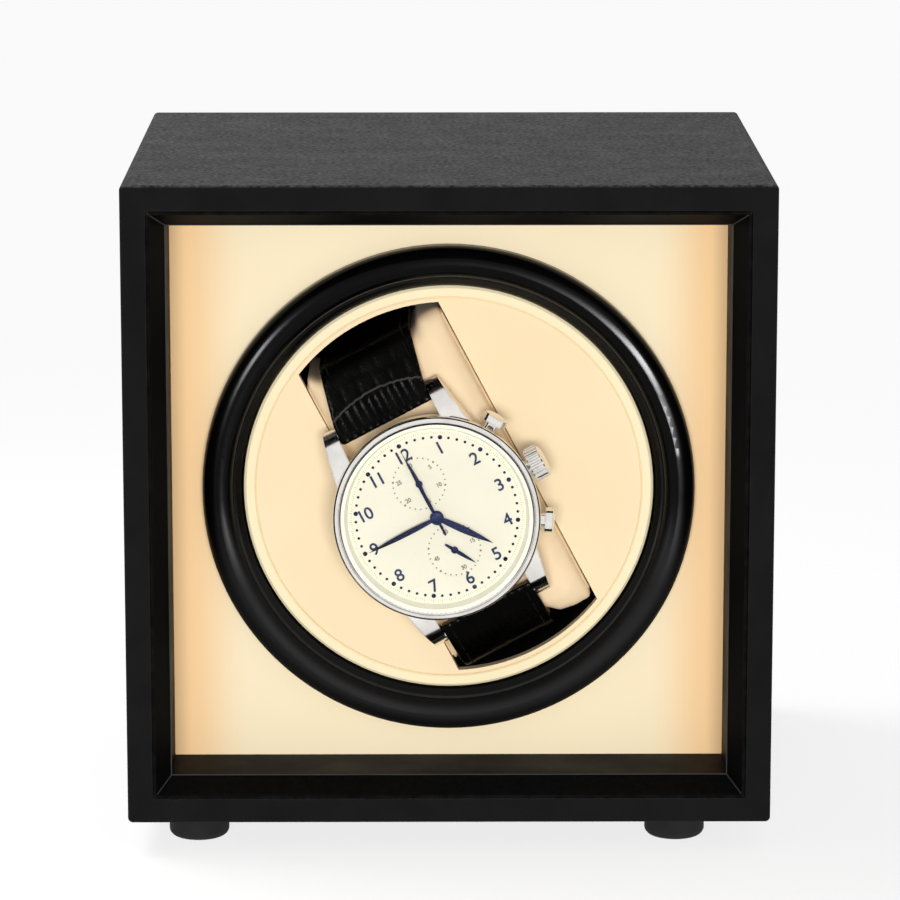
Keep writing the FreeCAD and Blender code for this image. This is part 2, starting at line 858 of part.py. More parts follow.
def drive():
    """The bush, washer and clip of the drum's shaft, and the geared motor with its pinion."""
    bush = turned(
        [
            (shaft_radius + running_clearance, bush_front),
            (bush_radius + bush_wall, bush_front),
            (bush_radius + bush_wall, bulkhead_front),
            (bush_radius, bulkhead_front),
            (bush_radius, bush_back),
            (shaft_radius + running_clearance, bush_back),
        ]
    )
    gearbox = rod(0, 0, gearbox_radius, bulkhead_back, gearbox_back)
    bore_end = bulkhead_back + gearbox_length / 2.0
    bore = rod(0, 0, motor_shaft_radius + running_clearance, bulkhead_back, bore_end)
    pilot = rod(0, 0, small_screw_radius, bulkhead_back, bore_end)
    gearbox = gearbox.cut([bore] + [shift(pilot, x=x) for x in motor_screw_places()])
    can = turned(
        [
            (0, gearbox_back),
            (motor_radius, gearbox_back),
            (motor_radius, motor_back - motor_can_round),
            (motor_radius - motor_can_round, motor_back),
            (motor_tail_radius, motor_back),
            (motor_tail_radius, motor_back + motor_tail),
            (0, motor_back + motor_tail),
        ]
    )
    flats = block(-motor_radius, motor_radius, gearbox_back, rear_panel_front, -motor_flat, motor_flat)
    can = can.common(flats)
    pinion_front = drum_back + end_play
    pinion_back = gear_back - end_play
    pinion = plate(gear_outline(pinion_teeth, 90.0 + 180.0 / pinion_teeth), pinion_front, pinion_back)
    pinion = pinion.cut(rod(0, 0, motor_shaft_radius, pinion_front, pinion_back))
    shaft = rod(0, 0, motor_shaft_radius, pinion_front, bore_end - end_play)
    return {
        "bearing_bush": on_axis(bush),
        "motor_gearbox": on_axis(shift(gearbox, z=-motor_drop)),
        "motor_can": on_axis(shift(can, z=-motor_drop)),
        "motor_pinion": on_axis(shift(pinion, z=-motor_drop)),
        "motor_output_shaft": on_axis(shift(shaft, z=-motor_drop)),
    }


def slot_outline(half_width, end_radius):
    """The pocket's plan: straight sides and ends that follow the drum's curve."""
    z = math.sqrt(end_radius**2 - half_width**2)
    return [
        (-half_width, -z),
        ((0, -end_radius), (half_width, -z)),
        (half_width, z),
        ((0, end_radius), (-half_width, z)),
    ]


def gear_screw_places():
    """Three screws on a circle that hold the gear to the drum."""
    step = 360.0 / gear_screw_count
    angles = [math.radians(gear_screw_angle + index * step) for index in range(gear_screw_count)]
    return [(gear_screw_circle * math.cos(a), gear_screw_circle * math.sin(a)) for a in angles]


def drum():
    """The turning drum: shell, back, covered face, pocket, shaft, gear and what holds them."""
    shell = turned(
        [
            (face_radius, drum_front + seam_break),
            (face_radius + seam_break, drum_front),
            (drum_radius - edge_break, drum_front),
            (drum_radius, drum_front + edge_break),
            (drum_radius, drum_back),
            (drum_bore_radius, drum_back),
            (drum_bore_radius, face_back),
            (face_radius, face_back),
        ]
    )
    back = turned(
        [
            (shaft_radius, hub_front),
            (drum_hub_radius, hub_front),
            (drum_hub_radius, drum_back_inside),
            (drum_bore_radius, drum_back_inside),
            (drum_bore_radius, drum_back),
            (shaft_radius, drum_back),
        ]
    )
    pilots = [rod(x, z, small_screw_radius, drum_back_inside, drum_back) for x, z in gear_screw_places()]
    face = turned(
        [
            (0, face_front),
            (face_radius - seam_break, face_front),
            (face_radius, face_front + seam_break),
            (face_radius, face_back),
            (0, face_back),
        ]
    )
    slot = plate(slot_outline(slot_half, slot_end_radius), face_front, pocket_back)
    liner = plate(
        slot_outline(slot_half + pocket_wall, slot_end_radius + pocket_wall),
        face_back,
        pocket_back + pocket_floor,
    )
    gear = plate(gear_outline(gear_teeth, -90.0), drum_back, gear_back)
    gear_holes = [rod(x, z, small_screw_radius, drum_back, gear_back) for x, z in gear_screw_places()]
    sink = gear_back - small_screw_head_height
    gear_sinks = [
        rod(x, z, small_screw_head_radius + screw_sink_room, sink, gear_back)
        for x, z in gear_screw_places()
    ]
    gear = gear.cut([rod(0, 0, shaft_radius, drum_back, gear_back)] + gear_holes + gear_sinks)
    screw = small_screw(sink)
    groove = shaft_radius - clip_groove
    shaft = turned(
        [
            (0, hub_front),
            (shaft_radius, hub_front),
            (shaft_radius, clip_front),
            (groove, clip_front),
            (groove, clip_back),
            (shaft_radius, clip_back),
            (shaft_radius, shaft_back),
            (0, shaft_back),
        ]
    )
    washer = rod(0, 0, bush_radius, gear_back, washer_back)
    washer = washer.cut(rod(0, 0, shaft_radius, gear_back, washer_back))
    clip = rod(0, 0, clip_radius, clip_front, clip_back)
    clip = clip.cut(rod(0, 0, groove, clip_front, clip_back))
    clip = clip.cut(block(-groove, groove, clip_front, clip_back, 0, clip_radius))
    return {
        "drum_shell": on_axis(shell),
        "drum_back": on_axis(back.cut(pilots)),
        "drum_face": on_drum(face.cut(slot)),
        "pocket_liner": on_drum(liner.cut(slot)),
        "drum_gear": on_axis(gear),
        "gear_screws": Part.makeCompound([on_axis(shift(screw, x, 0, z)) for x, z in gear_screw_places()]),
        "drum_shaft": on_axis(shaft),
        "thrust_washer": on_axis(washer),
        "shaft_clip": on_axis(clip),
    }


def loop_outline(inset):
    """The pillow's side outline as (z, depth), drawn in by an inset all round."""
    half = pillow_length / 2.0 - inset
    front = pillow_front + inset
    back = pillow_back - inset
    radius = pillow_corner - 0.5 * inset
    cut = radius * (1.0 - slant)
    return [
        (-half + radius, front),
        (half - radius, front),
        ((half - cut, front + cut), (half, front + radius)),
        (half, back - radius),
        ((half - cut, back - cut), (half - radius, back)),
        (-half + radius, back),
        ((-half + cut, back - cut), (-half, back - radius)),
        (-half, front + radius),
        ((-half + cut, front + cut), (-half + radius, front)),
    ]


def pillow_section(x, inset):
    """The pillow's outline at one place across it."""
    return outline_face(loop_outline(inset), lambda z, depth: at(x, depth, z)).OuterWire


def pillow():
    """The cushion: full and level in the middle, with long edges that fall away to its two side caps."""
    half = pillow_width / 2.0
    flat = half - pillow_edge_run
    solid = slab(loop_outline(0.0), -flat, flat)
    sections = []
    for step in range(pillow_edge_steps + 1):
        angle = math.pi / 2.0 * step / pillow_edge_steps
        inset = pillow_edge_round * (1.0 - math.cos(angle))
        sections.append((flat + pillow_edge_run * math.sin(angle), inset))
    caps = []
    for side in (-1, 1):
        wires = [pillow_section(side * x, inset) for x, inset in sections]
        caps.append(Part.makeLoft(wires, True, True))
    return {"pillow": on_drum(solid.multiFuse(caps).removeSplitter())}


def strap_corner(side, offset, degrees):
    """A point of the strap's bend over the pillow's front corner; 0 faces the front, 90 the end."""
    radius = pillow_corner + offset
    angle = math.radians(degrees)
    z = pillow_length / 2.0 - pillow_corner + radius * math.sin(angle)
    return (side * z, pillow_front + pillow_corner - radius * math.cos(angle))


def strap_touch(side, z, depth, offset):
    """The angle at which a straight run of strap from this point first touches the pillow's corner."""
    along = side * z - pillow_length / 2.0 + pillow_corner
    rise = pillow_front + pillow_corner - depth
    reach = math.hypot(along, rise)
    return math.degrees(math.atan2(along, rise) + math.acos((pillow_corner + offset) / reach))


def strap_back_bend(side, offset):
    """The strap's bend over the pillow's back corner, from the pillow's end to its back."""
    half = pillow_length / 2.0 + offset
    back = strap_back + offset - strap_ease
    cut = pillow_corner * (1.0 - slant)
    return [
        (side * half, back - pillow_corner),
        ((side * (half - cut), back - cut), (side * (half - pillow_corner), back)),
    ]


def strap_front(side):
    """The strap from a lug to the pillow's end as (z, depth): padded at the lug, bent over the corner."""
    lug_z = watch_shift_along + side * strap_end_reach
    inner = strap_ease
    outer = strap_ease + strap_thickness
    lug_low = above_pillow(spring_bar_height - strap_lug_thickness / 2.0)
    lug_high = above_pillow(spring_bar_height + strap_lug_thickness / 2.0)
    lift_off = strap_touch(side, lug_z, lug_low, inner)
    settle = strap_touch(side, lug_z, lug_high, outer) + strap_settle_lead
    settled = strap_corner(side, outer, settle)
    bulge = ((lug_z + settled[0]) / 2.0, (lug_high + settled[1]) / 2.0 - strap_bulge)
    return [
        (lug_z, lug_low),
        strap_corner(side, inner, lift_off),
        (strap_corner(side, inner, (lift_off + 90.0) / 2.0), strap_corner(side, inner, 90.0)),
        strap_corner(side, outer, 90.0),
        (strap_corner(side, outer, (settle + 90.0) / 2.0), settled),
        (bulge, (lug_z, lug_high)),
    ]


def strap_behind(side, tail):
    """The strap from the pillow's end round to its back as (z, depth), with the tail's own points."""
    inner_bend = strap_back_bend(side, strap_ease)
    outer_bend = strap_back_bend(side, strap_ease + strap_thickness)
    outline = [strap_corner(side, strap_ease, 90.0)] + inner_bend + tail
    outline = outline + [outer_bend[1][1], (outer_bend[1][0], outer_bend[0])]
    return outline + [strap_corner(side, strap_ease + strap_thickness, 90.0)]


def strap_slab(outline, slope=0.0, pivot=0.0):
    """A run of strap of full width; with a slope, it drifts across the pillow from the pivot on."""
    low = -strap_width / 2.0
    face = outline_face(outline, lambda z, depth: at(low + slope * (z - pivot), depth, z))
    return face.extrude(ALONG_X * strap_width)


def strap_and_buckle():
    """The two strap halves, the keeper loops and the pin buckle behind the pillow."""
    half = strap_width / 2.0
    back_in = strap_back
    back_out = strap_back + strap_thickness
    over = strap_outer_layer
    over_out = strap_outside
    bar_z = strap_end_z - buckle_length
    ramp_start = bar_z + strap_ease
    ramp_end = strap_end_z - strap_ease
    lean = strap_thickness / 4.0
    short_tail = [(strap_end_z, back_in), (strap_end_z, back_out)]
    ramp_tail = [
        (ramp_start + lean, back_in),
        (ramp_end, over),
        (strap_end_z, over),
        (strap_end_z, over_out),
        (ramp_end - lean, over_out),
        (ramp_start, back_out),
    ]
    over_tail = [
        (strap_end_z, over),
        (strap_overlap, over),
        (strap_overlap, over_out),
        (strap_end_z, over_out),
    ]
    pin_z = strap_end_z + buckle_bar
    pin_depth = back_in + strap_thickness / 2.0
    pin_radius = buckle_bar / 2.0
    arm_low = half + keeper_ease
    arm_high = arm_low + buckle_arm
    arms = [
        block(low, high, pin_depth - pin_radius, buckle_back, bar_z - buckle_bar, pin_z + buckle_bar)
        for low, high in ((-arm_high, -arm_low), (arm_low, arm_high))
    ]
    cross = block(-arm_high, arm_high, back_out + strap_ease, over_out, bar_z - buckle_bar, bar_z)
    pin = rod_x(pin_radius, -arm_low, arm_low, pin_depth, pin_z)
    frame = cross.multiFuse(arms + [pin]).removeSplitter()
    tang_half = tang_width / 2.0
    eye_radius = strap_thickness / 2.0
    tang = slab(
        [
            (pin_z, pin_depth - eye_radius / 2.0),
            (bar_z, over_out - tang_thickness / 2.0),
            (bar_z, over_out),
            (bar_z - tang_tip, over_out),
            (bar_z - tang_tip, over_out + tang_thickness),
            (bar_z, over_out + tang_thickness),
            (pin_z, pin_depth + eye_radius),
        ],
        -tang_half,
        tang_half,
    )
    tang = tang.fuse(rod_x(eye_radius, -tang_half, tang_half, pin_depth, pin_z))
    tang = tang.cut(rod_x(pin_radius, -tang_half, tang_half, pin_depth, pin_z))
    hole_half = tang_half + strap_ease
    hole_end = pin_z + eye_radius + strap_ease
    hole = block(-hole_half, hole_half, pillow_back, keeper_back, bar_z, hole_end)
    bars = [spring_bar(watch_shift_along + side * spring_bar_reach) for side in (1, -1)]
    pin_tool = rod_x(pin_radius, -arm_low, arm_low, pin_depth, pin_z)
    end_z = strap_half_loop + strap_thickness
    drift = strap_top_shift - watch_shift_across
    lug_tip = watch_shift_along + lug_reach + strap_ease
    front_slope = drift / (end_z - lug_tip)
    back_slope = drift / (end_z - strap_end_z)
    between_lugs = block(-strap_width, strap_width, 0.0, box_depth, 0.0, lug_tip)
    upper = strap_slab(strap_front(1), front_slope, lug_tip).cut(between_lugs)
    upper = upper.fuse(strap_slab(strap_front(1)).common(between_lugs))
    upper = upper.fuse(strap_slab(strap_behind(1, short_tail), back_slope, strap_end_z))
    upper = upper.removeSplitter().cut([bars[0], hole, pin_tool])
    lower = strap_slab(strap_front(-1)).fuse(strap_slab(strap_behind(-1, ramp_tail)))
    lower = lower.fuse(strap_slab(over_tail, back_slope, strap_end_z))
    lower = lower.removeSplitter().cut([bars[1], hole])
    keepers = []
    for z in (pin_z + keeper_width, pin_z + keeper_width + keeper_spacing):
        across = back_slope * (z + keeper_width / 2.0 - strap_end_z)
        reach = half + keeper_ease
        inner = block(-reach, reach, back_in - strap_ease, over_out + strap_ease, z, z + keeper_width)
        outer = block(
            -reach - keeper_thickness,
            reach + keeper_thickness,
            pillow_back + strap_ease / 2.0,
            over_out + strap_ease + keeper_thickness,
            z,
            z + keeper_width,
        )
        keepers.append(shift(outer.cut(inner), x=across))

    def worn(shape):
        """Put across with the watch; its places along the strap are the pillow's own."""
        return on_drum(shift(shape, x=watch_shift_across))

    return {
        "strap_upper": worn(upper),
        "strap_lower": worn(lower),
        "strap_keepers": Part.makeCompound([worn(keeper) for keeper in keepers]),
        "buckle_frame": worn(frame),
        "buckle_tang": worn(tang),
        "spring_bars": Part.makeCompound([worn(bar) for bar in bars]),
    }


def spring_bar(z):
    """A bar between two lugs, its ends seated in them."""
    reach = strap_side_gap + spring_bar_seat
    return rod_x(spring_bar_radius, -reach, reach, above_pillow(spring_bar_height), z)


def watch_body():
    """The watch's case with its lugs, back, bezel, crystal, dial and movement."""
    bottom = above_pillow(case_back_height)
    top = above_pillow(case_top)
    ring = turned(
        [
            (cavity_radius, bottom),
            (case_radius - edge_break, bottom),
            (case_radius, bottom - 2.0 * edge_break),
            (case_radius, top),
            (cavity_radius, top),
        ]
    )
    root = case_radius - lug_root_inset
    flank_x = case_radius * math.sin(math.radians(lug_flank_angle))
    flank_z = case_radius * math.cos(math.radians(lug_flank_angle))
    inner_end = flank_z - lug_thickness / 2.0
    shoulder_z = (root + lug_reach) / 2.0 + lug_hump
    lug_top = above_pillow(case_top - lug_drop)
    tip_low = above_pillow(case_back_height - lug_toe)
    outline = [
        (inner_end, bottom),
        (inner_end, lug_top),
        (root, lug_top),
        ((shoulder_z, above_pillow(lug_hump_height)), (lug_reach, above_pillow(lug_tip_height))),
        (lug_reach - lug_toe, tip_low),
        (lug_reach - lug_heel, tip_low),
    ]
    lugs = []
    for side in (-1, 1):
        plan = [
            (side * strap_side_gap, inner_end),
            (side * strap_side_gap, lug_reach),
            (side * (strap_side_gap + lug_thickness), lug_reach),
            (side * flank_x, flank_z),
            (side * flank_x, inner_end),
        ]
        lug = slab(outline, -flank_x, flank_x).common(plate(plan, lug_top, pillow_front))
        lugs.append(lug)
        lugs.append(turn(lug, 180))
    case = ring.multiFuse(lugs).removeSplitter()
    case = case.cut(rod(0, 0, cavity_radius, above_pillow(bezel_top), pillow_front))
    holes = [pusher_axis_hole(angle, pusher_stem_radius) for angle in (-pusher_angle, pusher_angle)]
    holes.append(pusher_axis_hole(0.0, pusher_stem_radius))
    holes = holes + [spring_bar(spring_bar_reach), spring_bar(-spring_bar_reach)]
    back_plug = movement_radius - plug_margin
    plug_top = bottom - plug_height
    back = turned(
        [
            (0, pillow_front),
            (cavity_radius - case_back_bevel, pillow_front),
            (cavity_radius, above_pillow(case_back_bevel)),
            (cavity_radius, bottom),
            (back_plug, bottom),
            (back_plug, plug_top),
            (0, plug_top),
        ]
    )
    fall = bezel_round * (1.0 - slant)
    bezel_shoulder = (bezel_radius - fall, above_pillow(bezel_top - fall))
    bezel = turned(
        [
            (crystal_radius, top),
            (bezel_radius - bezel_edge, top),
            (bezel_radius, above_pillow(case_top + bezel_edge)),
            (bezel_shoulder, (bezel_radius - bezel_round, above_pillow(bezel_top))),
            (crystal_radius + bezel_edge, above_pillow(bezel_top - bezel_edge / 2.0)),
            (crystal_radius, above_pillow(bezel_top - bezel_edge)),
        ]
    )
    glass_low = above_pillow(crystal_bottom)
    glass_edge = above_pillow(crystal_bottom + crystal_edge)
    glass_top = above_pillow(crystal_bottom + crystal_edge + crystal_dome)
    dome_mid = (slant * crystal_radius, glass_edge - crystal_dome / 2.0)
    crystal = turned(
        [
            (0, glass_low),
            (crystal_radius, glass_low),
            (crystal_radius, glass_edge),
            (dome_mid, (pole_flat, glass_top)),
            (0, glass_top),
        ]
    )
    flange = turned(
        [
            (flange_radius, above_pillow(dial_top)),
            (cavity_radius, above_pillow(dial_top)),
            (cavity_radius, top),
            (crystal_radius, top),
            (crystal_radius, glass_low),
            (cavity_radius - crystal_ledge / 4.0, glass_low),
        ]
    )
    dial_low = above_pillow(dial_top - dial_thickness)
    dial = rod(0, 0, cavity_radius, above_pillow(dial_top), dial_low)
    sink = above_pillow(dial_top - subdial_sink)
    for z in (-subdial_distance, subdial_distance):
        dial = dial.cut(rod(0, z, subdial_radius, above_pillow(dial_top), sink))
        dial = dial.cut(rod(0, z, arbor_radius, above_pillow(dial_top), dial_low))
    dial = dial.cut(rod(0, 0, arbor_radius + 2.0 * arbor_step, above_pillow(dial_top), dial_low))
    movement = rod(0, 0, movement_radius, dial_low, plug_top).multiFuse(hand_arbors())
    return {
        "watch_case": on_watch(case.cut(holes)),
        "watch_case_back": on_watch(back),
        "watch_bezel": on_watch(bezel),
        "watch_crystal": on_watch(crystal),
        "watch_dial_flange": on_watch(flange),
        "watch_dial": on_watch(dial),
        "watch_movement": on_watch(movement),
    }


def pusher_axis_hole(angle, radius):
    """The hole through the case's wall for a pusher or for the crown's stem."""
    depth = above_pillow(crown_height)
    hole = rod_x(radius + stem_clearance, movement_radius, bezel_radius, depth)
    return turn(hole, angle)


def hand(length, width, angle, level, bore, wall, tail=0.0):
    """A leaf-shaped hand on the watch's centre, at a level above the dial, with a wall round its bore."""
    low = above_pillow(dial_top + level)
    high = low - hand_thickness
    hub = bore + wall
    neck = hand_neck_share * width
    belly = hand_belly_share * length
    blade = plate(
        [
            (-neck, -tail),
            ((-width / 2.0, belly), (0, length)),
            ((width / 2.0, belly), (neck, -tail)),
        ],
        high,
        low,
    )
    leaf = blade.fuse(rod(0, 0, hub, high, low)).cut(rod(0, 0, bore, high, low))
    return turn(leaf, angle)


def centre_hand_levels():
    """How high above the dial the hour, minute and chronograph hands lie."""
    lowest = first_hand_gap + hand_spacing
    return [lowest + index * hand_spacing for index in range(3)]


def centre_arbor_radii():
    """The arbor's radius at the hour, minute and chronograph hands."""
    return [arbor_radius + step * arbor_step for step in (2, 1, 0)]


def hand_arbors():
    """The stepped arbor of the centre hands and the two arbors of the small hands."""
    low = above_pillow(dial_top - dial_thickness)
    arbors = []
    for radius, level in zip(centre_arbor_radii(), centre_hand_levels()):
        arbors.append(rod(0, 0, radius, above_pillow(dial_top + level + hand_thickness), low))
    small_top = above_pillow(dial_top + first_hand_gap + hand_thickness)
    for z in (-subdial_distance, subdial_distance):
        arbors.append(rod(0, z, arbor_radius, small_top, low))
    return arbors


def watch_hands():
    """The five hands: hour, minute, chronograph, counter and small seconds."""
    levels = centre_hand_levels()
    bores = [radius + hand_clearance for radius in centre_arbor_radii()]
    small_bore = arbor_radius + hand_clearance
    small_length = subdial_radius - small_hand_gap
    hour_length = flange_radius - hour_hand_gap
    minute_length = flange_radius - minute_hand_gap
    chrono_length = flange_radius - chrono_hand_gap
    small = (first_hand_gap, small_bore, small_hub_wall, small_hand_tail)
    counter = hand(small_length, small_hand_width, 0.0, *small)
    seconds = hand(small_length, small_hand_width, small_seconds_angle, *small)
    hour = hand(hour_length, hour_hand_width, hour_hand_angle, levels[0], bores[0], hand_hub_wall)
    minute = hand(minute_length, minute_hand_width, minute_hand_angle, levels[1], bores[1], hand_hub_wall)
    chrono = hand(chrono_length, small_hand_width, 0.0, levels[2], bores[2], hand_hub_wall, chrono_hand_tail)
    return {
        "hour_hand": on_watch(hour),
        "minute_hand": on_watch(minute),
        "chrono_hand": on_watch(chrono),
        "counter_hand": on_watch(shift(counter, z=subdial_distance)),
        "seconds_hand": on_watch(shift(seconds, z=-subdial_distance)),
    }


def crown_and_pushers():
    """The fluted crown at three o'clock and the two mushroom pushers beside it."""
    depth = above_pillow(crown_height)
    start = bezel_radius + crown_gap
    end = start + crown_length
    crown = turned_x(
        [
            (cavity_radius + stem_inset, 0),
            (cavity_radius + stem_inset, pusher_stem_radius),
            (start, pusher_stem_radius),
            (start, crown_radius - crown_edge),
            (start + crown_edge, crown_radius),
            (end - crown_dome, crown_radius),
            ((end - crown_dome * (1.0 - slant), slant * crown_radius), (end, pole_flat)),
            (end, 0),
        ],
        depth,
    )
    flute = rod_x(crown_flute_radius, start, end, depth, crown_radius)
    flutes = []
    for index in range(crown_flutes):
        tool = flute.copy()
        tool.rotate(at(0, depth, 0), ALONG_X, 360.0 * index / crown_flutes)
        flutes.append(tool)
    cap_start = case_radius + pusher_travel + pusher_gap
    cap_end = cap_start + pusher_cap
    pusher = turned_x(
        [
            (cavity_radius + pusher_travel, 0),
            (cavity_radius + pusher_travel, pusher_stem_radius),
            (cap_start, pusher_stem_radius),
            (cap_start, pusher_radius),
            (cap_end - pusher_edge, pusher_radius),
            ((cap_end - pusher_edge * (1.0 - slant), slant * pusher_radius), (cap_end, pole_flat)),
            (cap_end, 0),
        ],
        depth,
    )
    return {
        "crown": on_watch(crown.cut(flutes)),
        "upper_pusher": on_watch(turn(pusher, -pusher_angle)),
        "lower_pusher": on_watch(turn(pusher, pusher_angle)),
    }


def build():
    """Every piece of the winder, by node name."""
    makers = [
        carcass,
        outer_wrap,
        front_frame,
        fascia_panel,
        bezel_ring,
        rubber_feet,
        rear_structure,
        control_board,
        small_screws,
        internal_leads,
        rear_controls,
        drive,
        drum,
        pillow,
        strap_and_buckle,
        watch_body,
        watch_hands,
        crown_and_pushers,
    ]
    pieces = {}
    for maker in makers:
        pieces.update(maker())
    return pieces


def main():
    """Writes one STEP file for each piece."""
    os.makedirs("parts", exist_ok=True)
    for name, shape in build().items():
        shape.exportStep(os.path.join("parts", name + ".step"))
    print("box", round(box_width, 2), round(box_depth, 2), round(box_width + foot_height, 2))


if __name__ == "__main__":
    main()
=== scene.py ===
import itertools
import json
import logging
import math
from collections.abc import Callable, Iterable
from dataclasses import dataclass, field, replace
from enum import Enum

import bmesh
import bpy
import numpy as np
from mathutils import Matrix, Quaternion, Vector
from mathutils.bvhtree import BVHTree


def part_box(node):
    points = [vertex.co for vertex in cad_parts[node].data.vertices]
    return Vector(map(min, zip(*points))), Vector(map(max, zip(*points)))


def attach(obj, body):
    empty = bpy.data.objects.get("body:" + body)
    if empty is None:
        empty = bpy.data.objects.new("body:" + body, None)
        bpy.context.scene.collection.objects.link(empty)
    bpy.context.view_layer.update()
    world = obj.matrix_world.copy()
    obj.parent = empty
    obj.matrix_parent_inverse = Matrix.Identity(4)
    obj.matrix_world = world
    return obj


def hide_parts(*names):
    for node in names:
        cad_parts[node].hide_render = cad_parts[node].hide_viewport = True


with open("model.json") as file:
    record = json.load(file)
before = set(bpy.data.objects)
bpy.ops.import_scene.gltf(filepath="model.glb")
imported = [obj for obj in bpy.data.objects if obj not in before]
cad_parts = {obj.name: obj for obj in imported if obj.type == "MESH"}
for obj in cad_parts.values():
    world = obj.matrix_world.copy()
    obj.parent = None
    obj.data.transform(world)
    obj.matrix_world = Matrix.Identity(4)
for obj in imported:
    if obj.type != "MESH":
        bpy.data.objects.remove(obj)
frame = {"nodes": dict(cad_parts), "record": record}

log = logging.getLogger("watch_winder")
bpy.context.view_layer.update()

Colour = tuple[float, float, float]
Path = list[Vector]
Socket = bpy.types.NodeSocket
Tree = bpy.types.NodeTree
GroupParts = tuple[Tree, bpy.types.Node, bpy.types.Node]
MaterialParts = tuple[bpy.types.Material, Tree, bpy.types.Node]
MM = 0.001
FRONT = Vector((0.0, -1.0, 0.0))
WHITE = (1.0, 1.0, 1.0, 1.0)
FULL_TURN = 360.0
SHARP_ANGLE = math.radians(40.0)
EASE = 0.5
TINY = 1e-9
HOURS = 12
MINUTES = 60
MINUTES_IN_MARK = 5
SMALL_DIALS = {"counter": range(5, 31, 5), "seconds": range(15, 61, 15)}
MIX_UNDER, MIX_OVER, MIX_COLOUR = 6, 7, 2


def joint(name: str) -> dict:
    """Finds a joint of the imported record.

    Args:
        name: the joint's name.

    Returns:
        The joint's entry, with its place in metres and its axis.
    """
    joints = frame["record"]["behaviour"]["joints"]
    return next(entry for entry in joints if entry["name"] == name)


@dataclass(frozen=True)
class Place:
    """The tilted axes of the drum and of the watch: across, along towards twelve, and out to the viewer."""

    centre: Vector
    across: Vector
    along: Vector

    def point(self, across: float, along: float, out: float = 0.0) -> Vector:
        """A place given by its distances along the three axes."""
        return self.centre + self.across * across + self.along * along + FRONT * out

    def clock(self, radius: float, degrees: float, out: float = 0.0) -> Vector:
        """A place on a circle, its angle counted clockwise from twelve."""
        angle = math.radians(degrees)
        return self.point(radius * math.sin(angle), radius * math.cos(angle), out)

    def local(self, points: np.ndarray) -> np.ndarray:
        """Turns frame coordinates into across, along and out.

        Args:
            points: one row of frame coordinates for each point.

        Returns:
            One row of across, along and out for each point.
        """
        axes = np.array([self.across, self.along, FRONT])
        return (points - np.array(self.centre)) @ axes.T

    def world(self, points: np.ndarray) -> np.ndarray:
        """Turns rows of across, along and out back into frame coordinates."""
        axes = np.array([self.across, self.along, FRONT])
        return np.array(self.centre) + points @ axes

    def moved(self, centre: Vector) -> "Place":
        """The same axes about another centre."""
        return Place(centre, self.across, self.along)


def watch_place() -> Place:
    """Reads where the watch lies and how it is tilted from its joints.

    Returns:
        The watch's place, with its centre on the front of the dial.
    """
    middle = Vector(joint("minute_spin")["pos_m"])
    twelve = Vector(joint("counter_spin")["pos_m"]) - middle
    middle.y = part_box("watch_dial")[0].y
    return Place(middle, Vector(joint("crown_turn")["axis"]), twelve.normalized())


class Grain(Enum):
    """The relief that breaks up a finish."""

    PEBBLE = "pebble_grain"
    DRAWN = "drawn_lines"
    NAP = "soft_nap"


def add_node(tree: Tree, kind: str, inputs: dict | None = None, **settings) -> bpy.types.Node:
    """Adds a shader node; an input given as a socket is joined, any other is set as a value.

    Args:
        tree: the tree that takes the node.
        kind: the node's type.
        inputs: values or sockets by input name or number.
        settings: the node's own properties.

    Returns:
        The new node.
    """
    node = tree.nodes.new(kind)
    for key, value in settings.items():
        setattr(node, key, value)
    for key, value in (inputs or {}).items():
        if isinstance(value, Socket):
            tree.links.new(value, node.inputs[key])
        else:
            node.inputs[key].default_value = value
    return node


def maths(tree: Tree, operation: str, *values: object) -> Socket:
    """Adds one step of arithmetic on sockets and numbers.

    Args:
        tree: the tree that takes it.
        operation: what is done.
        values: the sockets and numbers, in order.

    Returns:
        The socket with the result.
    """
    return add_node(tree, "ShaderNodeMath", dict(enumerate(values)), operation=operation).outputs[0]


def ramp(
    tree: Tree,
    value: Socket,
    span: tuple[float, float] = (0.0, 1.0),
    into: tuple[float, float] = (0.0, 1.0),
    **settings,
) -> Socket:
    """Adds a map of one span of values into another.

    Args:
        tree: the tree that takes it.
        value: the socket that is mapped.
        span: the values where the map starts and ends.
        into: what they become.
        settings: the node's own properties.

    Returns:
        The socket with the mapped value.
    """
    ends = dict(zip(("From Min", "From Max", "To Min", "To Max"), (*span, *into)))
    return add_node(tree, "ShaderNodeMapRange", {"Value": value, **ends}, **settings).outputs[0]


def noise(tree: Tree, place: Socket, scale: Socket, detail: float, distortion: float = 0.0) -> Socket:
    """Adds cloudy noise.

    Args:
        tree: the tree that takes it.
        place: the coordinates.
        scale: how fine the clouds are.
        detail: how many finer layers they have.
        distortion: how far they are drawn out.

    Returns:
        The socket with the noise.
    """
    values = {"Vector": place, "Scale": scale, "Detail": detail, "Distortion": distortion}
    return add_node(tree, "ShaderNodeTexNoise", values).outputs["Fac"]


def object_place(tree: Tree) -> Socket:
    """Adds the coordinates that stay with a piece when it moves."""
    return add_node(tree, "ShaderNodeTexCoord").outputs["Object"]


def new_material(name: str, plain: dict[str, object]) -> MaterialParts:
    """Starts a material.

    Args:
        name: the material's name.
        plain: the constants on its shader.

    Returns:
        The material, its tree and its shader.
    """
    made = bpy.data.materials.new(name)
    made.use_nodes = True
    shader = made.node_tree.nodes["Principled BSDF"]
    for label, value in plain.items():
        shader.inputs[label].default_value = value
    return made, made.node_tree, shader


def seen_directly(tree: Tree) -> Socket:
    """Adds a mask of what the eye meets, straight on or by way of gloss and glass.

    Args:
        tree: the tree that takes it.

    Returns:
        The socket with the mask.
    """
    light = add_node(tree, "ShaderNodeLightPath")
    mask = light.outputs["Is Camera Ray"]
    for kind in ("Is Glossy Ray", "Is Transmission Ray"):
        mask = maths(tree, "MAXIMUM", mask, light.outputs[kind])
    return mask


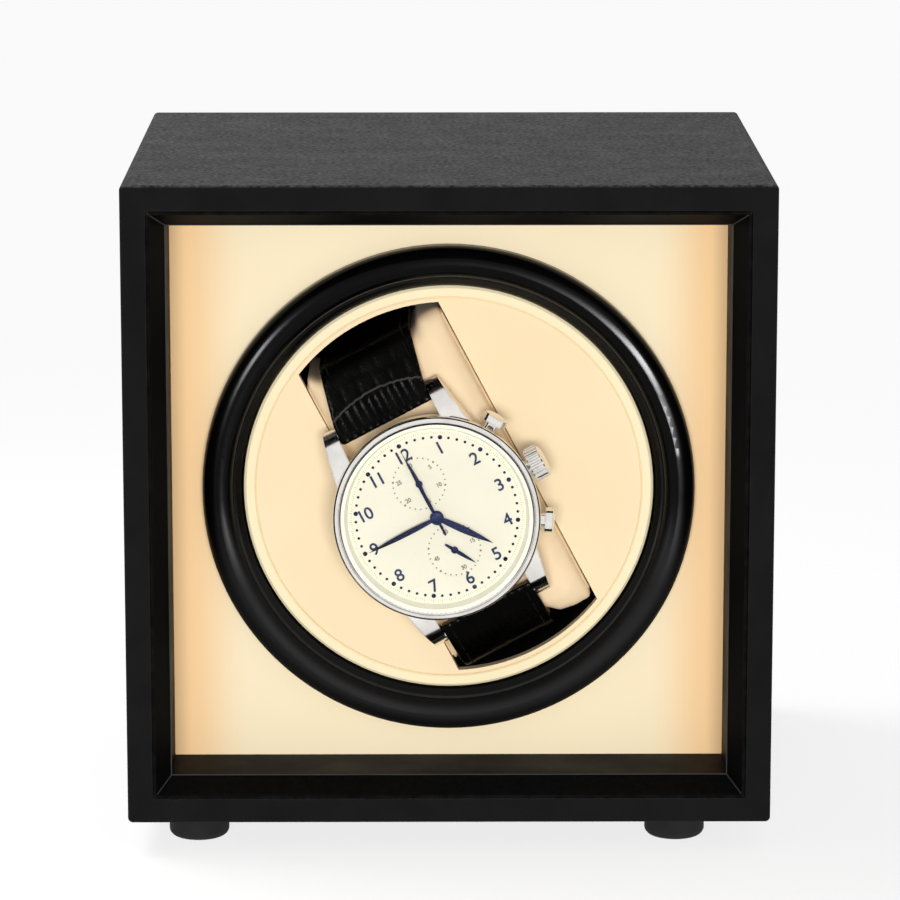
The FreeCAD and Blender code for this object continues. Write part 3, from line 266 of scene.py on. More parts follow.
@dataclass
class GroupBench:
    """Builds the shader node groups that several finishes share, each of them once."""

    groups: dict[str, Tree] = field(default_factory=dict)
    cell_smoothness: float = 0.6
    cell_depth: float = -0.9
    fibre_detail: float = 4.0
    line_detail: float = 3.0
    line_squeeze: tuple[float, float, float] = (0.06, 1.0, 1.0)
    pile_detail: float = 5.0
    stroke_detail: float = 2.0
    stroke_bend: float = 1.4
    wear_radius: float = 0.6 * MM
    wear_breakup: float = 400.0
    bevel_samples: int = 4
    edge_span: tuple[float, float] = (0.99, 0.82)
    dust_breakup: float = 1200.0
    upward_span: tuple[float, float] = (0.5, 1.0)
    patch_detail: float = 3.0
    patch_span: tuple[float, float] = (0.3, 0.7)

    def __post_init__(self) -> None:
        """Makes all the groups."""
        self.pebble_grain()
        self.drawn_lines()
        self.soft_nap()
        self.edge_wear()
        self.dust_film()

    def start(self, name: str, inputs: dict[str, float], outputs: Iterable[str]) -> GroupParts:
        """Opens a group with named sockets.

        Args:
            name: the group's name.
            inputs: the input sockets with their usual values.
            outputs: the output sockets.

        Returns:
            The tree, its input node and its output node.
        """
        tree = bpy.data.node_groups.new(name, "ShaderNodeTree")
        for label, value in inputs.items():
            socket = tree.interface.new_socket(name=label, in_out="INPUT", socket_type="NodeSocketFloat")
            socket.default_value = value
        for label in outputs:
            tree.interface.new_socket(name=label, in_out="OUTPUT", socket_type="NodeSocketFloat")
        self.groups[name] = tree
        return tree, tree.nodes.new("NodeGroupInput"), tree.nodes.new("NodeGroupOutput")

    def start_grain(self, grain: Grain, scale: float, mottle_scale: float) -> GroupParts:
        """Opens a group that puts out a height and broad patches."""
        return self.start(grain.value, {"Scale": scale, "Mottle Scale": mottle_scale}, ("Height", "Mottle"))

    def pebble_grain(self) -> None:
        """Rounded cells with fibres between them, as on leatherette and moulded rubber."""
        tree, entry, leave = self.start_grain(Grain.PEBBLE, scale=1500.0, mottle_scale=40.0)
        place = object_place(tree)
        scale = entry.outputs["Scale"]
        cells = add_node(
            tree,
            "ShaderNodeTexVoronoi",
            {"Vector": place, "Scale": scale, "Smoothness": self.cell_smoothness},
            feature="SMOOTH_F1",
        )
        fibres = noise(tree, place, scale, self.fibre_detail)
        height = maths(tree, "MULTIPLY_ADD", cells.outputs["Distance"], self.cell_depth, fibres)
        tree.links.new(height, leave.inputs["Height"])
        tree.links.new(self.mottle(tree, place, entry.outputs["Mottle Scale"]), leave.inputs["Mottle"])

    def drawn_lines(self) -> None:
        """Fine parallel lines left by a polishing or drawing tool."""
        tree, entry, leave = self.start_grain(Grain.DRAWN, scale=900.0, mottle_scale=60.0)
        place = object_place(tree)
        squeezed = add_node(
            tree, "ShaderNodeVectorMath", {0: place, 1: self.line_squeeze}, operation="MULTIPLY"
        )
        lines = noise(tree, squeezed.outputs[0], entry.outputs["Scale"], self.line_detail)
        tree.links.new(lines, leave.inputs["Height"])
        tree.links.new(self.mottle(tree, place, entry.outputs["Mottle Scale"]), leave.inputs["Mottle"])

    def soft_nap(self) -> None:
        """The short brushed pile of suede cloth, with broad strokes where a hand has passed."""
        tree, entry, leave = self.start_grain(Grain.NAP, scale=2500.0, mottle_scale=50.0)
        place = object_place(tree)
        pile = noise(tree, place, entry.outputs["Scale"], self.pile_detail)
        strokes = noise(tree, place, entry.outputs["Mottle Scale"], self.stroke_detail, self.stroke_bend)
        tree.links.new(pile, leave.inputs["Height"])
        tree.links.new(strokes, leave.inputs["Mottle"])

    def edge_wear(self) -> None:
        """A mask of edges, found by comparing the surface with a rounded copy of itself: rubbed wear, and on
        the satin trim and the leatherette also a painted edge highlight.
        """
        inputs = {"Radius": self.wear_radius, "Breakup Scale": self.wear_breakup}
        tree, entry, leave = self.start("edge_wear", inputs, ("WearAndHighlight",))
        rounded = add_node(
            tree, "ShaderNodeBevel", {"Radius": entry.outputs["Radius"]}, samples=self.bevel_samples
        )
        flat = add_node(tree, "ShaderNodeNewGeometry").outputs["Normal"]
        match = add_node(
            tree, "ShaderNodeVectorMath", {0: rounded.outputs[0], 1: flat}, operation="DOT_PRODUCT"
        )
        edge = ramp(tree, match.outputs["Value"], self.edge_span)
        breakup = self.mottle(tree, object_place(tree), entry.outputs["Breakup Scale"])
        tree.links.new(maths(tree, "MULTIPLY", edge, breakup), leave.inputs["WearAndHighlight"])

    def dust_film(self) -> None:
        """A mask of what faces up, broken up unevenly: a dust film, and on the leatherette also a painted
        sheen that lightens the top.
        """
        tree, entry, leave = self.start("dust_film", {"Breakup Scale": self.dust_breakup}, ("DustAndSheen",))
        normal = add_node(tree, "ShaderNodeNewGeometry").outputs["Normal"]
        upward = add_node(tree, "ShaderNodeSeparateXYZ", {0: normal}).outputs["Z"]
        facing = ramp(tree, upward, self.upward_span)
        breakup = self.mottle(tree, object_place(tree), entry.outputs["Breakup Scale"])
        tree.links.new(maths(tree, "MULTIPLY", facing, breakup), leave.inputs["DustAndSheen"])

    def mottle(self, tree: Tree, place: Socket, scale: Socket) -> Socket:
        """Adds broad soft patches from 0 to 1."""
        return ramp(tree, noise(tree, place, scale, self.patch_detail), self.patch_span)

    def put(self, tree: Tree, name: str, values: dict[str, float] | None = None) -> bpy.types.Node:
        """Puts a shared group into a material, with values of its own where it has them."""
        return add_node(tree, "ShaderNodeGroup", values, node_tree=self.groups[name])


@dataclass(frozen=True)
class Finish:
    """One finish: its two tones, its gloss, its grain and how its edges wear."""

    name: str
    tone: Colour
    second_tone: Colour
    roughness: float
    roughness_swing: float = 0.06
    metallic: float = 0.0
    specular: float = 0.5
    coat: float = 0.0
    sheen: float = 0.0
    grain: Grain = Grain.PEBBLE
    cell: float = 0.6 * MM
    mottle: float = 20.0 * MM
    relief: float = 0.05 * MM
    strength: float = 0.4
    # wear_tone: the edge tone, rubbed wear and, on the satin trim and leatherette, a painted edge highlight.
    wear_tone: Colour | None = None
    # dust_tone: the upward tone, a dust film and, on the leatherette, a painted sheen on the top.
    dust_tone: Colour | None = None
    # side_tone: painted shade, a deeper tone laid on the cover's left and right sides, where the frame's
    # reveal shades it.
    side_tone: Colour | None = None
    side_start: float = 40.0 * MM
    side_end: float = 52.5 * MM
    dulling: float = 0.0
    dull_height: float = 50.0 * MM
    bright_height: float = 68.0 * MM
    least_roughness: float = 0.02
    coat_roughness: float = 0.04

    def material(self, bench: GroupBench) -> bpy.types.Material:
        """Makes the finish's material.

        Args:
            bench: the shared node groups.

        Returns:
            The new material.
        """
        plain = {
            "Metallic": self.metallic,
            "Specular IOR Level": self.specular,
            "Coat Weight": self.coat,
            "Coat Roughness": self.coat_roughness,
            "Sheen Weight": self.sheen,
        }
        made, tree, shader = new_material(self.name, plain)
        scales = {"Scale": 1.0 / self.cell, "Mottle Scale": 1.0 / self.mottle}
        grain = bench.put(tree, self.grain.value, scales)
        patches = grain.outputs["Mottle"]
        colour = self.blend(tree, patches, self.tone, self.second_tone)
        # Painted shade: the cover turns deeper orange towards its left and right sides, where the frame's
        # reveal shades it.
        if self.side_tone:
            colour = self.blend(tree, self.unfaded(tree), colour, self.side_tone)
        # Edge tone: rubbed wear; on the satin trim and the leatherette also a painted highlight along the
        # edges.
        if self.wear_tone:
            wear = bench.put(tree, "edge_wear")
            colour = self.blend(tree, wear.outputs["WearAndHighlight"], colour, self.wear_tone)
        # Upward tone: a dust film; on the leatherette also a painted sheen that lightens the top face.
        if self.dust_tone:
            dust = bench.put(tree, "dust_film")
            colour = self.blend(tree, dust.outputs["DustAndSheen"], colour, self.dust_tone)
        smooth = max(self.least_roughness, self.roughness - self.roughness_swing)
        rough = min(1.0, self.roughness + self.roughness_swing)
        gloss = ramp(tree, patches, into=(smooth, rough))
        bump = add_node(
            tree,
            "ShaderNodeBump",
            {"Strength": self.strength, "Distance": self.relief, "Height": grain.outputs["Height"]},
        )
        tree.links.new(colour, shader.inputs["Base Color"])
        tree.links.new(self.dulled(tree, gloss), shader.inputs["Roughness"])
        tree.links.new(bump.outputs[0], shader.inputs["Normal"])
        return made

    def dulled(self, tree: Tree, gloss: Socket) -> Socket:
        """Adds roughness lower down, where hands and dust dull the gloss first.

        Args:
            tree: the material's tree.
            gloss: the roughness before that.

        Returns:
            The socket with the roughness.
        """
        if not self.dulling:
            return gloss
        height = add_node(tree, "ShaderNodeSeparateXYZ", {0: object_place(tree)}).outputs["Z"]
        extra = ramp(tree, height, (self.bright_height, self.dull_height), (0.0, self.dulling))
        return maths(tree, "ADD", gloss, extra)

    def unfaded(self, tree: Tree) -> Socket:
        """Adds a mask of the left and right sides, where the cover takes painted shade from the frame's
        reveal.

        Args:
            tree: the material's tree.

        Returns:
            The socket with the mask.
        """
        across = add_node(tree, "ShaderNodeSeparateXYZ", {0: object_place(tree)}).outputs["X"]
        reach = maths(tree, "ABSOLUTE", across)
        return ramp(tree, reach, (self.side_start, self.side_end), interpolation_type="SMOOTHSTEP")

    def blend(self, tree: Tree, mask: Socket, under: Socket | Colour, over: Colour) -> Socket:
        """Lays one colour over another through a mask.

        Args:
            tree: the material's tree.
            mask: where the upper colour shows.
            under: the lower colour, or the socket that gives it.
            over: the upper colour.

        Returns:
            The socket with the blended colour.
        """
        lower = under if isinstance(under, Socket) else (*under, 1.0)
        values = {0: mask, MIX_UNDER: lower, MIX_OVER: (*over, 1.0)}
        return add_node(tree, "ShaderNodeMix", values, data_type="RGBA").outputs[MIX_COLOUR]


@dataclass(frozen=True)
class GlassFinish:
    """The watch's clear crystal, which lets light through to the dial."""

    name: str = "crystal"
    roughness: float = 0.01
    smear: float = 0.03
    ior: float = 1.2

    def material(self, bench: GroupBench) -> bpy.types.Material:
        """Makes the glass: clear, with faint smears in its gloss.

        Args:
            bench: the shared node groups.

        Returns:
            The new material.
        """
        plain = {"Base Color": WHITE, "Transmission Weight": 1.0, "IOR": self.ior}
        made, tree, shader = new_material(self.name, plain)
        smears = bench.put(tree, Grain.NAP.value)
        gloss = ramp(tree, smears.outputs["Mottle"], into=(self.roughness, self.smear))
        tree.links.new(gloss, shader.inputs["Roughness"])
        clear = add_node(tree, "ShaderNodeBsdfTransparent")
        light = add_node(tree, "ShaderNodeLightPath")
        passing = maths(tree, "MAXIMUM", light.outputs["Is Shadow Ray"], light.outputs["Is Diffuse Ray"])
        both = add_node(tree, "ShaderNodeMixShader", {0: passing, 1: shader.outputs[0], 2: clear.outputs[0]})
        tree.links.new(both.outputs[0], tree.nodes["Material Output"].inputs["Surface"])
        return made


class FinishRack:
    """Every finish of the winder, by the record's slot or by a name of its own."""

    def __init__(self) -> None:
        """Makes every material once."""
        bench = GroupBench()
        self.materials = {finish.name: finish.material(bench) for finish in self.finishes()}

    def finishes(self) -> list[Finish | GlassFinish]:
        """Lists the finishes.

        Returns:
            The finishes, the box's first and the watch's last.
        """
        cream = Finish(
            "cream_cover", (0.93, 0.76, 0.505), (0.915, 0.725, 0.46), 0.55, 0.06, specular=0.2,
            cell=0.45 * MM, mottle=30 * MM, relief=0.03 * MM, strength=0.22, sheen=0.05,
        )
        scale = Finish(
            "scale_cream", (0.90, 0.86, 0.67), (0.87, 0.83, 0.64), 0.5, specular=0.2,
            cell=0.25 * MM, mottle=5 * MM, relief=0.008 * MM, strength=0.2,
        )
        return [
            # Leatherette: the lighter edge tone is partly rubbed wear and partly a painted edge highlight;
            # the upward tone is partly dust and partly a painted sheen on the top.
            Finish(
                "leatherette", (0.0066, 0.0066, 0.0067), (0.0098, 0.0098, 0.01), 0.68, 0.08, specular=0.045,
                cell=0.55 * MM, mottle=9 * MM, relief=0.09 * MM, strength=0.55,
                wear_tone=(0.016, 0.016, 0.017), dust_tone=(0.10, 0.098, 0.10),
            ),
            Finish(
                "fibreboard", (0.42, 0.31, 0.21), (0.34, 0.24, 0.16), 0.85, specular=0.2,
                grain=Grain.NAP, cell=0.5 * MM, mottle=6 * MM, relief=0.15 * MM,
            ),
            # Satin trim: its lighter edge tone paints the highlights along the frame's edges.
            Finish(
                "satin_trim", (0.0016, 0.0016, 0.0017), (0.0028, 0.0028, 0.003), 0.45, 0.07, specular=0.015,
                cell=0.35 * MM, mottle=14 * MM, relief=0.02 * MM, strength=0.25,
                wear_tone=(0.03, 0.03, 0.032), dust_tone=(0.005, 0.005, 0.0052),
            ),
            Finish(
                "trim_edge", (0.035, 0.035, 0.036), (0.022, 0.022, 0.023), 0.4, 0.07, specular=0.3,
                cell=0.35 * MM, mottle=8 * MM, relief=0.02 * MM, strength=0.25,
            ),
            cream,
            # The fascia's side tone is painted shade on its left and right sides.
            replace(
                cream, name="fascia_cover", tone=(0.975, 0.835, 0.575), second_tone=(0.965, 0.815, 0.555),
                roughness=0.58, side_tone=(0.97, 0.65, 0.34),
            ),
            # A paler copy of cream_cover for the drum's rim: painted light that keeps the rim bright up to
            # its edge against its shade.
            replace(
                cream, name="drum_rim_painted_light", tone=(0.94, 0.825, 0.55), second_tone=(0.93, 0.80, 0.525),
            ),
            Finish(
                "gloss_black", (0.0008, 0.0008, 0.0009), (0.0014, 0.0014, 0.0015), 0.2, 0.03, specular=0.06,
                grain=Grain.DRAWN, cell=1.6 * MM, mottle=25 * MM, relief=0.004 * MM, strength=0.07,
                wear_tone=(0.012, 0.012, 0.013), dulling=0.45,
            ),
            Finish(
                "rear_black", (0.010, 0.010, 0.0105), (0.016, 0.016, 0.017), 0.5, 0.08, specular=0.2,
                cell=0.8 * MM, mottle=12 * MM, relief=0.08 * MM, strength=0.5, wear_tone=(0.04, 0.04, 0.04),
            ),
            Finish(
                "foot_rubber", (0.013, 0.013, 0.013), (0.021, 0.021, 0.021), 0.7, 0.08, specular=0.15,
                cell=0.4 * MM, mottle=5 * MM, relief=0.04 * MM, wear_tone=(0.03, 0.03, 0.03),
            ),
            Finish(
                "zinc_steel", (0.60, 0.60, 0.60), (0.50, 0.51, 0.53), 0.32, 0.08, metallic=1.0,
                grain=Grain.DRAWN, cell=0.5 * MM, mottle=3 * MM, relief=0.01 * MM,
            ),
            Finish(
                "gear_plastic", (0.82, 0.81, 0.75), (0.76, 0.74, 0.67), 0.42, specular=0.4,
                cell=0.5 * MM, mottle=8 * MM, relief=0.01 * MM,
            ),
            Finish(
                "bronze", (0.62, 0.40, 0.17), (0.52, 0.32, 0.13), 0.3, metallic=1.0,
                grain=Grain.DRAWN, cell=0.4 * MM, mottle=4 * MM, relief=0.01 * MM,
            ),
            Finish(
                "circuit_board", (0.02, 0.17, 0.07), (0.015, 0.12, 0.05), 0.35, coat=0.3,
                cell=0.8 * MM, mottle=5 * MM, relief=0.02 * MM,
            ),
            Finish(
                "component_black", (0.02, 0.02, 0.022), (0.03, 0.03, 0.033), 0.5,
                cell=0.3 * MM, mottle=3 * MM, relief=0.02 * MM,
            ),
            Finish(
                "lead_insulation", (0.32, 0.02, 0.02), (0.25, 0.015, 0.015), 0.4,
                cell=0.3 * MM, mottle=6 * MM, relief=0.01 * MM,
            ),
            Finish(
                "pillow_cover", (0.93, 0.73, 0.48), (0.90, 0.68, 0.42), 0.72, 0.08, specular=0.15, sheen=0.1,
                grain=Grain.NAP, cell=0.25 * MM, mottle=16 * MM, relief=0.03 * MM, strength=0.3,
            ),
            Finish(
                "pocket_lining", (0.004, 0.0034, 0.003), (0.007, 0.006, 0.005), 0.95, 0.04, specular=0.1,
                grain=Grain.NAP, cell=0.2 * MM, mottle=10 * MM, relief=0.04 * MM,
            ),
            Finish(
                "pillow_seam", (0.80, 0.60, 0.36), (0.70, 0.51, 0.29), 0.8, specular=0.15,
                grain=Grain.NAP, cell=0.2 * MM, mottle=3 * MM, relief=0.04 * MM,
            ),
            Finish(
                "strap_leather", (0.0006, 0.0005, 0.0005), (0.0014, 0.0011, 0.0009), 0.24, specular=0.02,
                cell=0.5 * MM, mottle=5 * MM, relief=0.05 * MM, strength=0.35,
                wear_tone=(0.014, 0.012, 0.010),
            ),
            Finish(
                "strap_lining", (0.50, 0.27, 0.10), (0.40, 0.20, 0.07), 0.7, specular=0.2,
                cell=0.35 * MM, mottle=5 * MM, relief=0.04 * MM,
            ),
            Finish(
                "strap_thread", (0.0022, 0.0019, 0.0017), (0.0045, 0.004, 0.0036), 0.6, specular=0.08,
                grain=Grain.DRAWN, cell=0.15 * MM, mottle=1 * MM, relief=0.03 * MM,
            ),
            # strap_crease: far lighter than the strap, a painted highlight along the fold.
            Finish(
                "strap_crease", (0.04, 0.038, 0.036), (0.024, 0.023, 0.021), 0.35, specular=0.3,
                cell=0.3 * MM, mottle=3 * MM, relief=0.03 * MM,
            ),
            Finish(
                "polished_steel", (0.89, 0.865, 0.83), (0.76, 0.735, 0.70), 0.12, 0.04, metallic=1.0,
                grain=Grain.DRAWN, cell=0.5 * MM, mottle=4 * MM, relief=0.002 * MM, strength=0.15,
                wear_tone=(0.3, 0.285, 0.265),
            ),
            GlassFinish(),
            Finish(
                "dial_white", (0.82, 0.78, 0.632), (0.80, 0.76, 0.61), 0.45, specular=0.2,
                cell=0.25 * MM, mottle=9 * MM, relief=0.008 * MM, strength=0.2,
            ),
            scale,
            # A paler copy of scale_cream for the dial's flange: painted light that lifts the shade on the
            # flange's lower slope.
            replace(scale, name="flange_painted_light", tone=(0.96, 0.94, 0.80), second_tone=(0.94, 0.915, 0.77)),
            Finish(
                "print_grey", (0.24, 0.21, 0.15), (0.19, 0.165, 0.12), 0.6, specular=0.2,
                cell=0.2 * MM, mottle=3 * MM, relief=0.005 * MM,
            ),
            Finish(
                "numeral_blue", (0.010, 0.018, 0.052), (0.018, 0.036, 0.095), 0.3, 0.05,
                metallic=0.3, specular=0.15, cell=0.3 * MM, mottle=6 * MM, relief=0.002 * MM, strength=0.1,
            ),
            Finish(
                "hand_blue", (0.002, 0.003, 0.015), (0.004, 0.010, 0.050), 0.25, 0.05,
                metallic=0.4, specular=0.12, grain=Grain.DRAWN,
                cell=0.3 * MM, mottle=9 * MM, relief=0.003 * MM,
            ),
        ]

    def dress_nodes(self) -> None:
        """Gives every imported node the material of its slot."""
        # The drum's rim and the dial's flange take paler copies of their cream, painted light against their
        # shade.
        own = {
            "fascia_panel": "fascia_cover",
            "drum_shell": "drum_rim_painted_light",
            "watch_dial_flange": "flange_painted_light",
        }
        for entry in frame["record"]["subparts"]:
            node = frame["nodes"][entry["node"]]
            finish = own.get(entry["node"], entry["material_slot"])
            node.data.materials.clear()
            node.data.materials.append(self.materials[finish])
            log.info("dressed %s in %s", entry["node"], finish)


def straight(start: Vector, end: Vector, steps: int) -> Path:
    """Places at even steps along a line, both ends among them.

    Args:
        start: the line's start.
        end: the line's end.
        steps: how many steps it takes.

    Returns:
        The places in order.
    """
    return [start.lerp(end, step / steps) for step in range(steps + 1)]


def band(low: int, high: int, sides: int) -> list[tuple[int, ...]]:
    """Joins two rings of corners with a band of faces.

    Args:
        low: the first corner of the one ring.
        high: the first corner of the other.
        sides: how many corners each ring has.

    Returns:
        One face for each side.
    """
    turns = [(step, (step + 1) % sides) for step in range(sides)]
    return [(low + step, low + turn, high + turn, high + step) for step, turn in turns]


@dataclass
class MeshPile:
    """Gathers the corners and faces of many small forms that make one piece."""

    points: list[Vector] = field(default_factory=list)
    faces: list[tuple[int, ...]] = field(default_factory=list)

    def add(self, points: Iterable[Vector], faces: Iterable[tuple[int, ...]]) -> None:
        """Adds one form.

        Args:
            points: the form's corners.
            faces: its faces, counted from its own first corner.
        """
        first = len(self.points)
        self.points.extend(points)
        self.faces.extend(tuple(first + corner for corner in face) for face in faces)

    def tube(self, path: Path, radius: float, sides: int = 8, closed: bool = False) -> None:
        """Adds a round bead along a path, with flat ends unless it is closed.

        Args:
            path: the points that it follows.
            radius: half its thickness.
            sides: how many sides its section has.
            closed: whether the last point joins the first.
        """
        count = len(path)
        points: Path = []
        for index, spot in enumerate(path):
            before = path[index - 1] if index or closed else spot
            after = path[(index + 1) % count] if index < count - 1 or closed else spot
            run = (after - before).normalized()
            side = run.orthogonal() if index == 0 else side - run * side.dot(run)
            side.normalize()
            rise = run.cross(side)
            for step in range(sides):
                angle = 2.0 * math.pi * step / sides
                points.append(spot + (side * math.cos(angle) + rise * math.sin(angle)) * radius)
        faces = []
        for index in range(count if closed else count - 1):
            faces += band(index * sides, (index + 1) % count * sides, sides)
        if not closed:
            faces.append(tuple(reversed(range(sides))))
            faces.append(tuple(range((count - 1) * sides, count * sides)))
        self.add(points, faces)

    def turned(self, place: Place, profile: list[tuple[float, float]], sides: int) -> None:
        """Adds a form turned about the line out of a place.

        Args:
            place: the form's centre and axes.
            profile: radius and height out of the place, from the outer edge to the middle.
            sides: how many sides it has.
        """
        points = [
            place.clock(radius, FULL_TURN * step / sides, out)
            for radius, out in profile
            for step in range(sides)
        ]
        last = (len(profile) - 1) * sides
        faces = []
        for low in range(0, last, sides):
            faces += band(low + sides, low, sides)
        faces.append(tuple(reversed(range(last, last + sides))))
        faces.append(tuple(range(sides)))
        self.add(points, faces)

    def piece(self, name: str) -> bpy.types.Object:
        """Makes the gathered forms into one object with smooth faces.

        Args:
            name: the piece's name.

        Returns:
            The new object.
        """
        mesh = bpy.data.meshes.new(name)
        mesh.from_pydata(self.points, [], self.faces)
        mesh.validate()
        return show(bpy.data.objects.new(name, mesh))


def show(piece: bpy.types.Object) -> bpy.types.Object:
    """Puts a piece in the scene, shaded smooth between its sharper edges.

    Args:
        piece: the new object.

    Returns:
        The same object.
    """
    bpy.context.scene.collection.objects.link(piece)
    piece.data.shade_smooth()
    piece.data.set_sharp_from_angle(angle=SHARP_ANGLE)
    return piece


def fit(piece: bpy.types.Object, body: str, material: bpy.types.Material) -> None:
    """Dresses a piece and lets it ride on a body.

    Args:
        piece: the piece, in its place.
        body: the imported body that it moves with.
        material: its material, unless it has some already.
    """
    if not piece.data.materials:
        piece.data.materials.append(material)
    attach(piece, body)
    log.info("built %s on %s", piece.name, body)


def coordinates(mesh: bpy.types.Mesh) -> np.ndarray:
    """Reads the corners of a mesh.

    Args:
        mesh: the mesh.

    Returns:
        One row for each corner.
    """
    rows = np.empty(len(mesh.vertices) * 3)
    mesh.vertices.foreach_get("co", rows)
    return rows.reshape(-1, 3)


def put_coordinates(mesh: bpy.types.Mesh, rows: np.ndarray) -> None:
    """Writes the corners of a mesh back."""
    mesh.vertices.foreach_set("co", rows.ravel())
    mesh.update()


def normals(mesh: bpy.types.Mesh) -> np.ndarray:
    """Reads the normals at the corners of a mesh.

    Args:
        mesh: the mesh.

    Returns:
        One row for each corner.
    """
    rows = np.empty(len(mesh.vertices) * 3)
    mesh.vertex_normals.foreach_get("vector", rows)
    return rows.reshape(-1, 3)


def remeshed(node: str, name: str, voxel: float, smoothing: int) -> bpy.types.Object:
    """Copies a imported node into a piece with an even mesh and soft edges.

    Args:
        node: the node to copy.
        name: the piece's name.
        voxel: the size of the mesh's cells.
        smoothing: how many times the edges are eased.

    Returns:
        The new piece, not yet riding on anything.
    """
    copy = bpy.data.objects.new(name, frame["nodes"][node].data.copy())
    bpy.context.scene.collection.objects.link(copy)
    even = copy.modifiers.new("even", "REMESH")
    even.mode = "VOXEL"
    even.voxel_size = voxel
    ease = copy.modifiers.new("ease", "SMOOTH")
    ease.factor = EASE
    ease.iterations = smoothing
    graph = bpy.context.evaluated_depsgraph_get()
    mesh = bpy.data.meshes.new_from_object(copy.evaluated_get(graph))
    bpy.data.objects.remove(copy)
    mesh.materials.clear()
    mesh.name = name
    return show(bpy.data.objects.new(name, mesh))


@dataclass
class Cabinet:
    """The frame's fine lines: beads along the mitres and round the opening's inner edge, in a lighter tone
    that paints highlights on those edges.
    """

    rack: FinishRack
    bevel_depth: float = 5.6 * MM
    bevel_width: float = 3.4 * MM
    bead: float = 0.8 * MM
    line_radius: float = 0.16 * MM
    mitre_steps: int = 6
    welt_steps: int = 12

    def build(self) -> None:
        """Builds the mitre lines and the line round the opening, both painted highlights along those edges.
        """
        low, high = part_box("frame_top")
        middle = joint("drum_spin")["pos_m"][2]
        outer, inner = high.x - self.bead, high.x - self.bevel_width
        edge = low.y + self.bevel_depth
        mitres, edge_highlight = MeshPile(), MeshPile()
        for side, rise in itertools.product((-1, 1), repeat=2):
            start = Vector((side * outer, low.y + self.bead / 2.0, middle + rise * outer))
            end = Vector((side * inner, edge, middle + rise * inner))
            mitres.tube(straight(start, end, self.mitre_steps), self.line_radius)
        ways = ((-1, -1), (1, -1), (1, 1), (-1, 1))
        corners = [Vector((side * inner, edge, middle + rise * inner)) for side, rise in ways]
        for corner, follow in zip(corners, corners[1:] + corners[:1]):
            edge_highlight.tube(straight(corner, follow, self.welt_steps), self.line_radius)
        for name, pile in (("mitre_lines", mitres), ("opening_welt", edge_highlight)):
            # trim_edge is a lighter grey than the satin trim, so these beads are painted highlights on the
            # mitres and the opening's edge.
            fit(pile.piece(name), "case", self.rack.materials["trim_edge"])


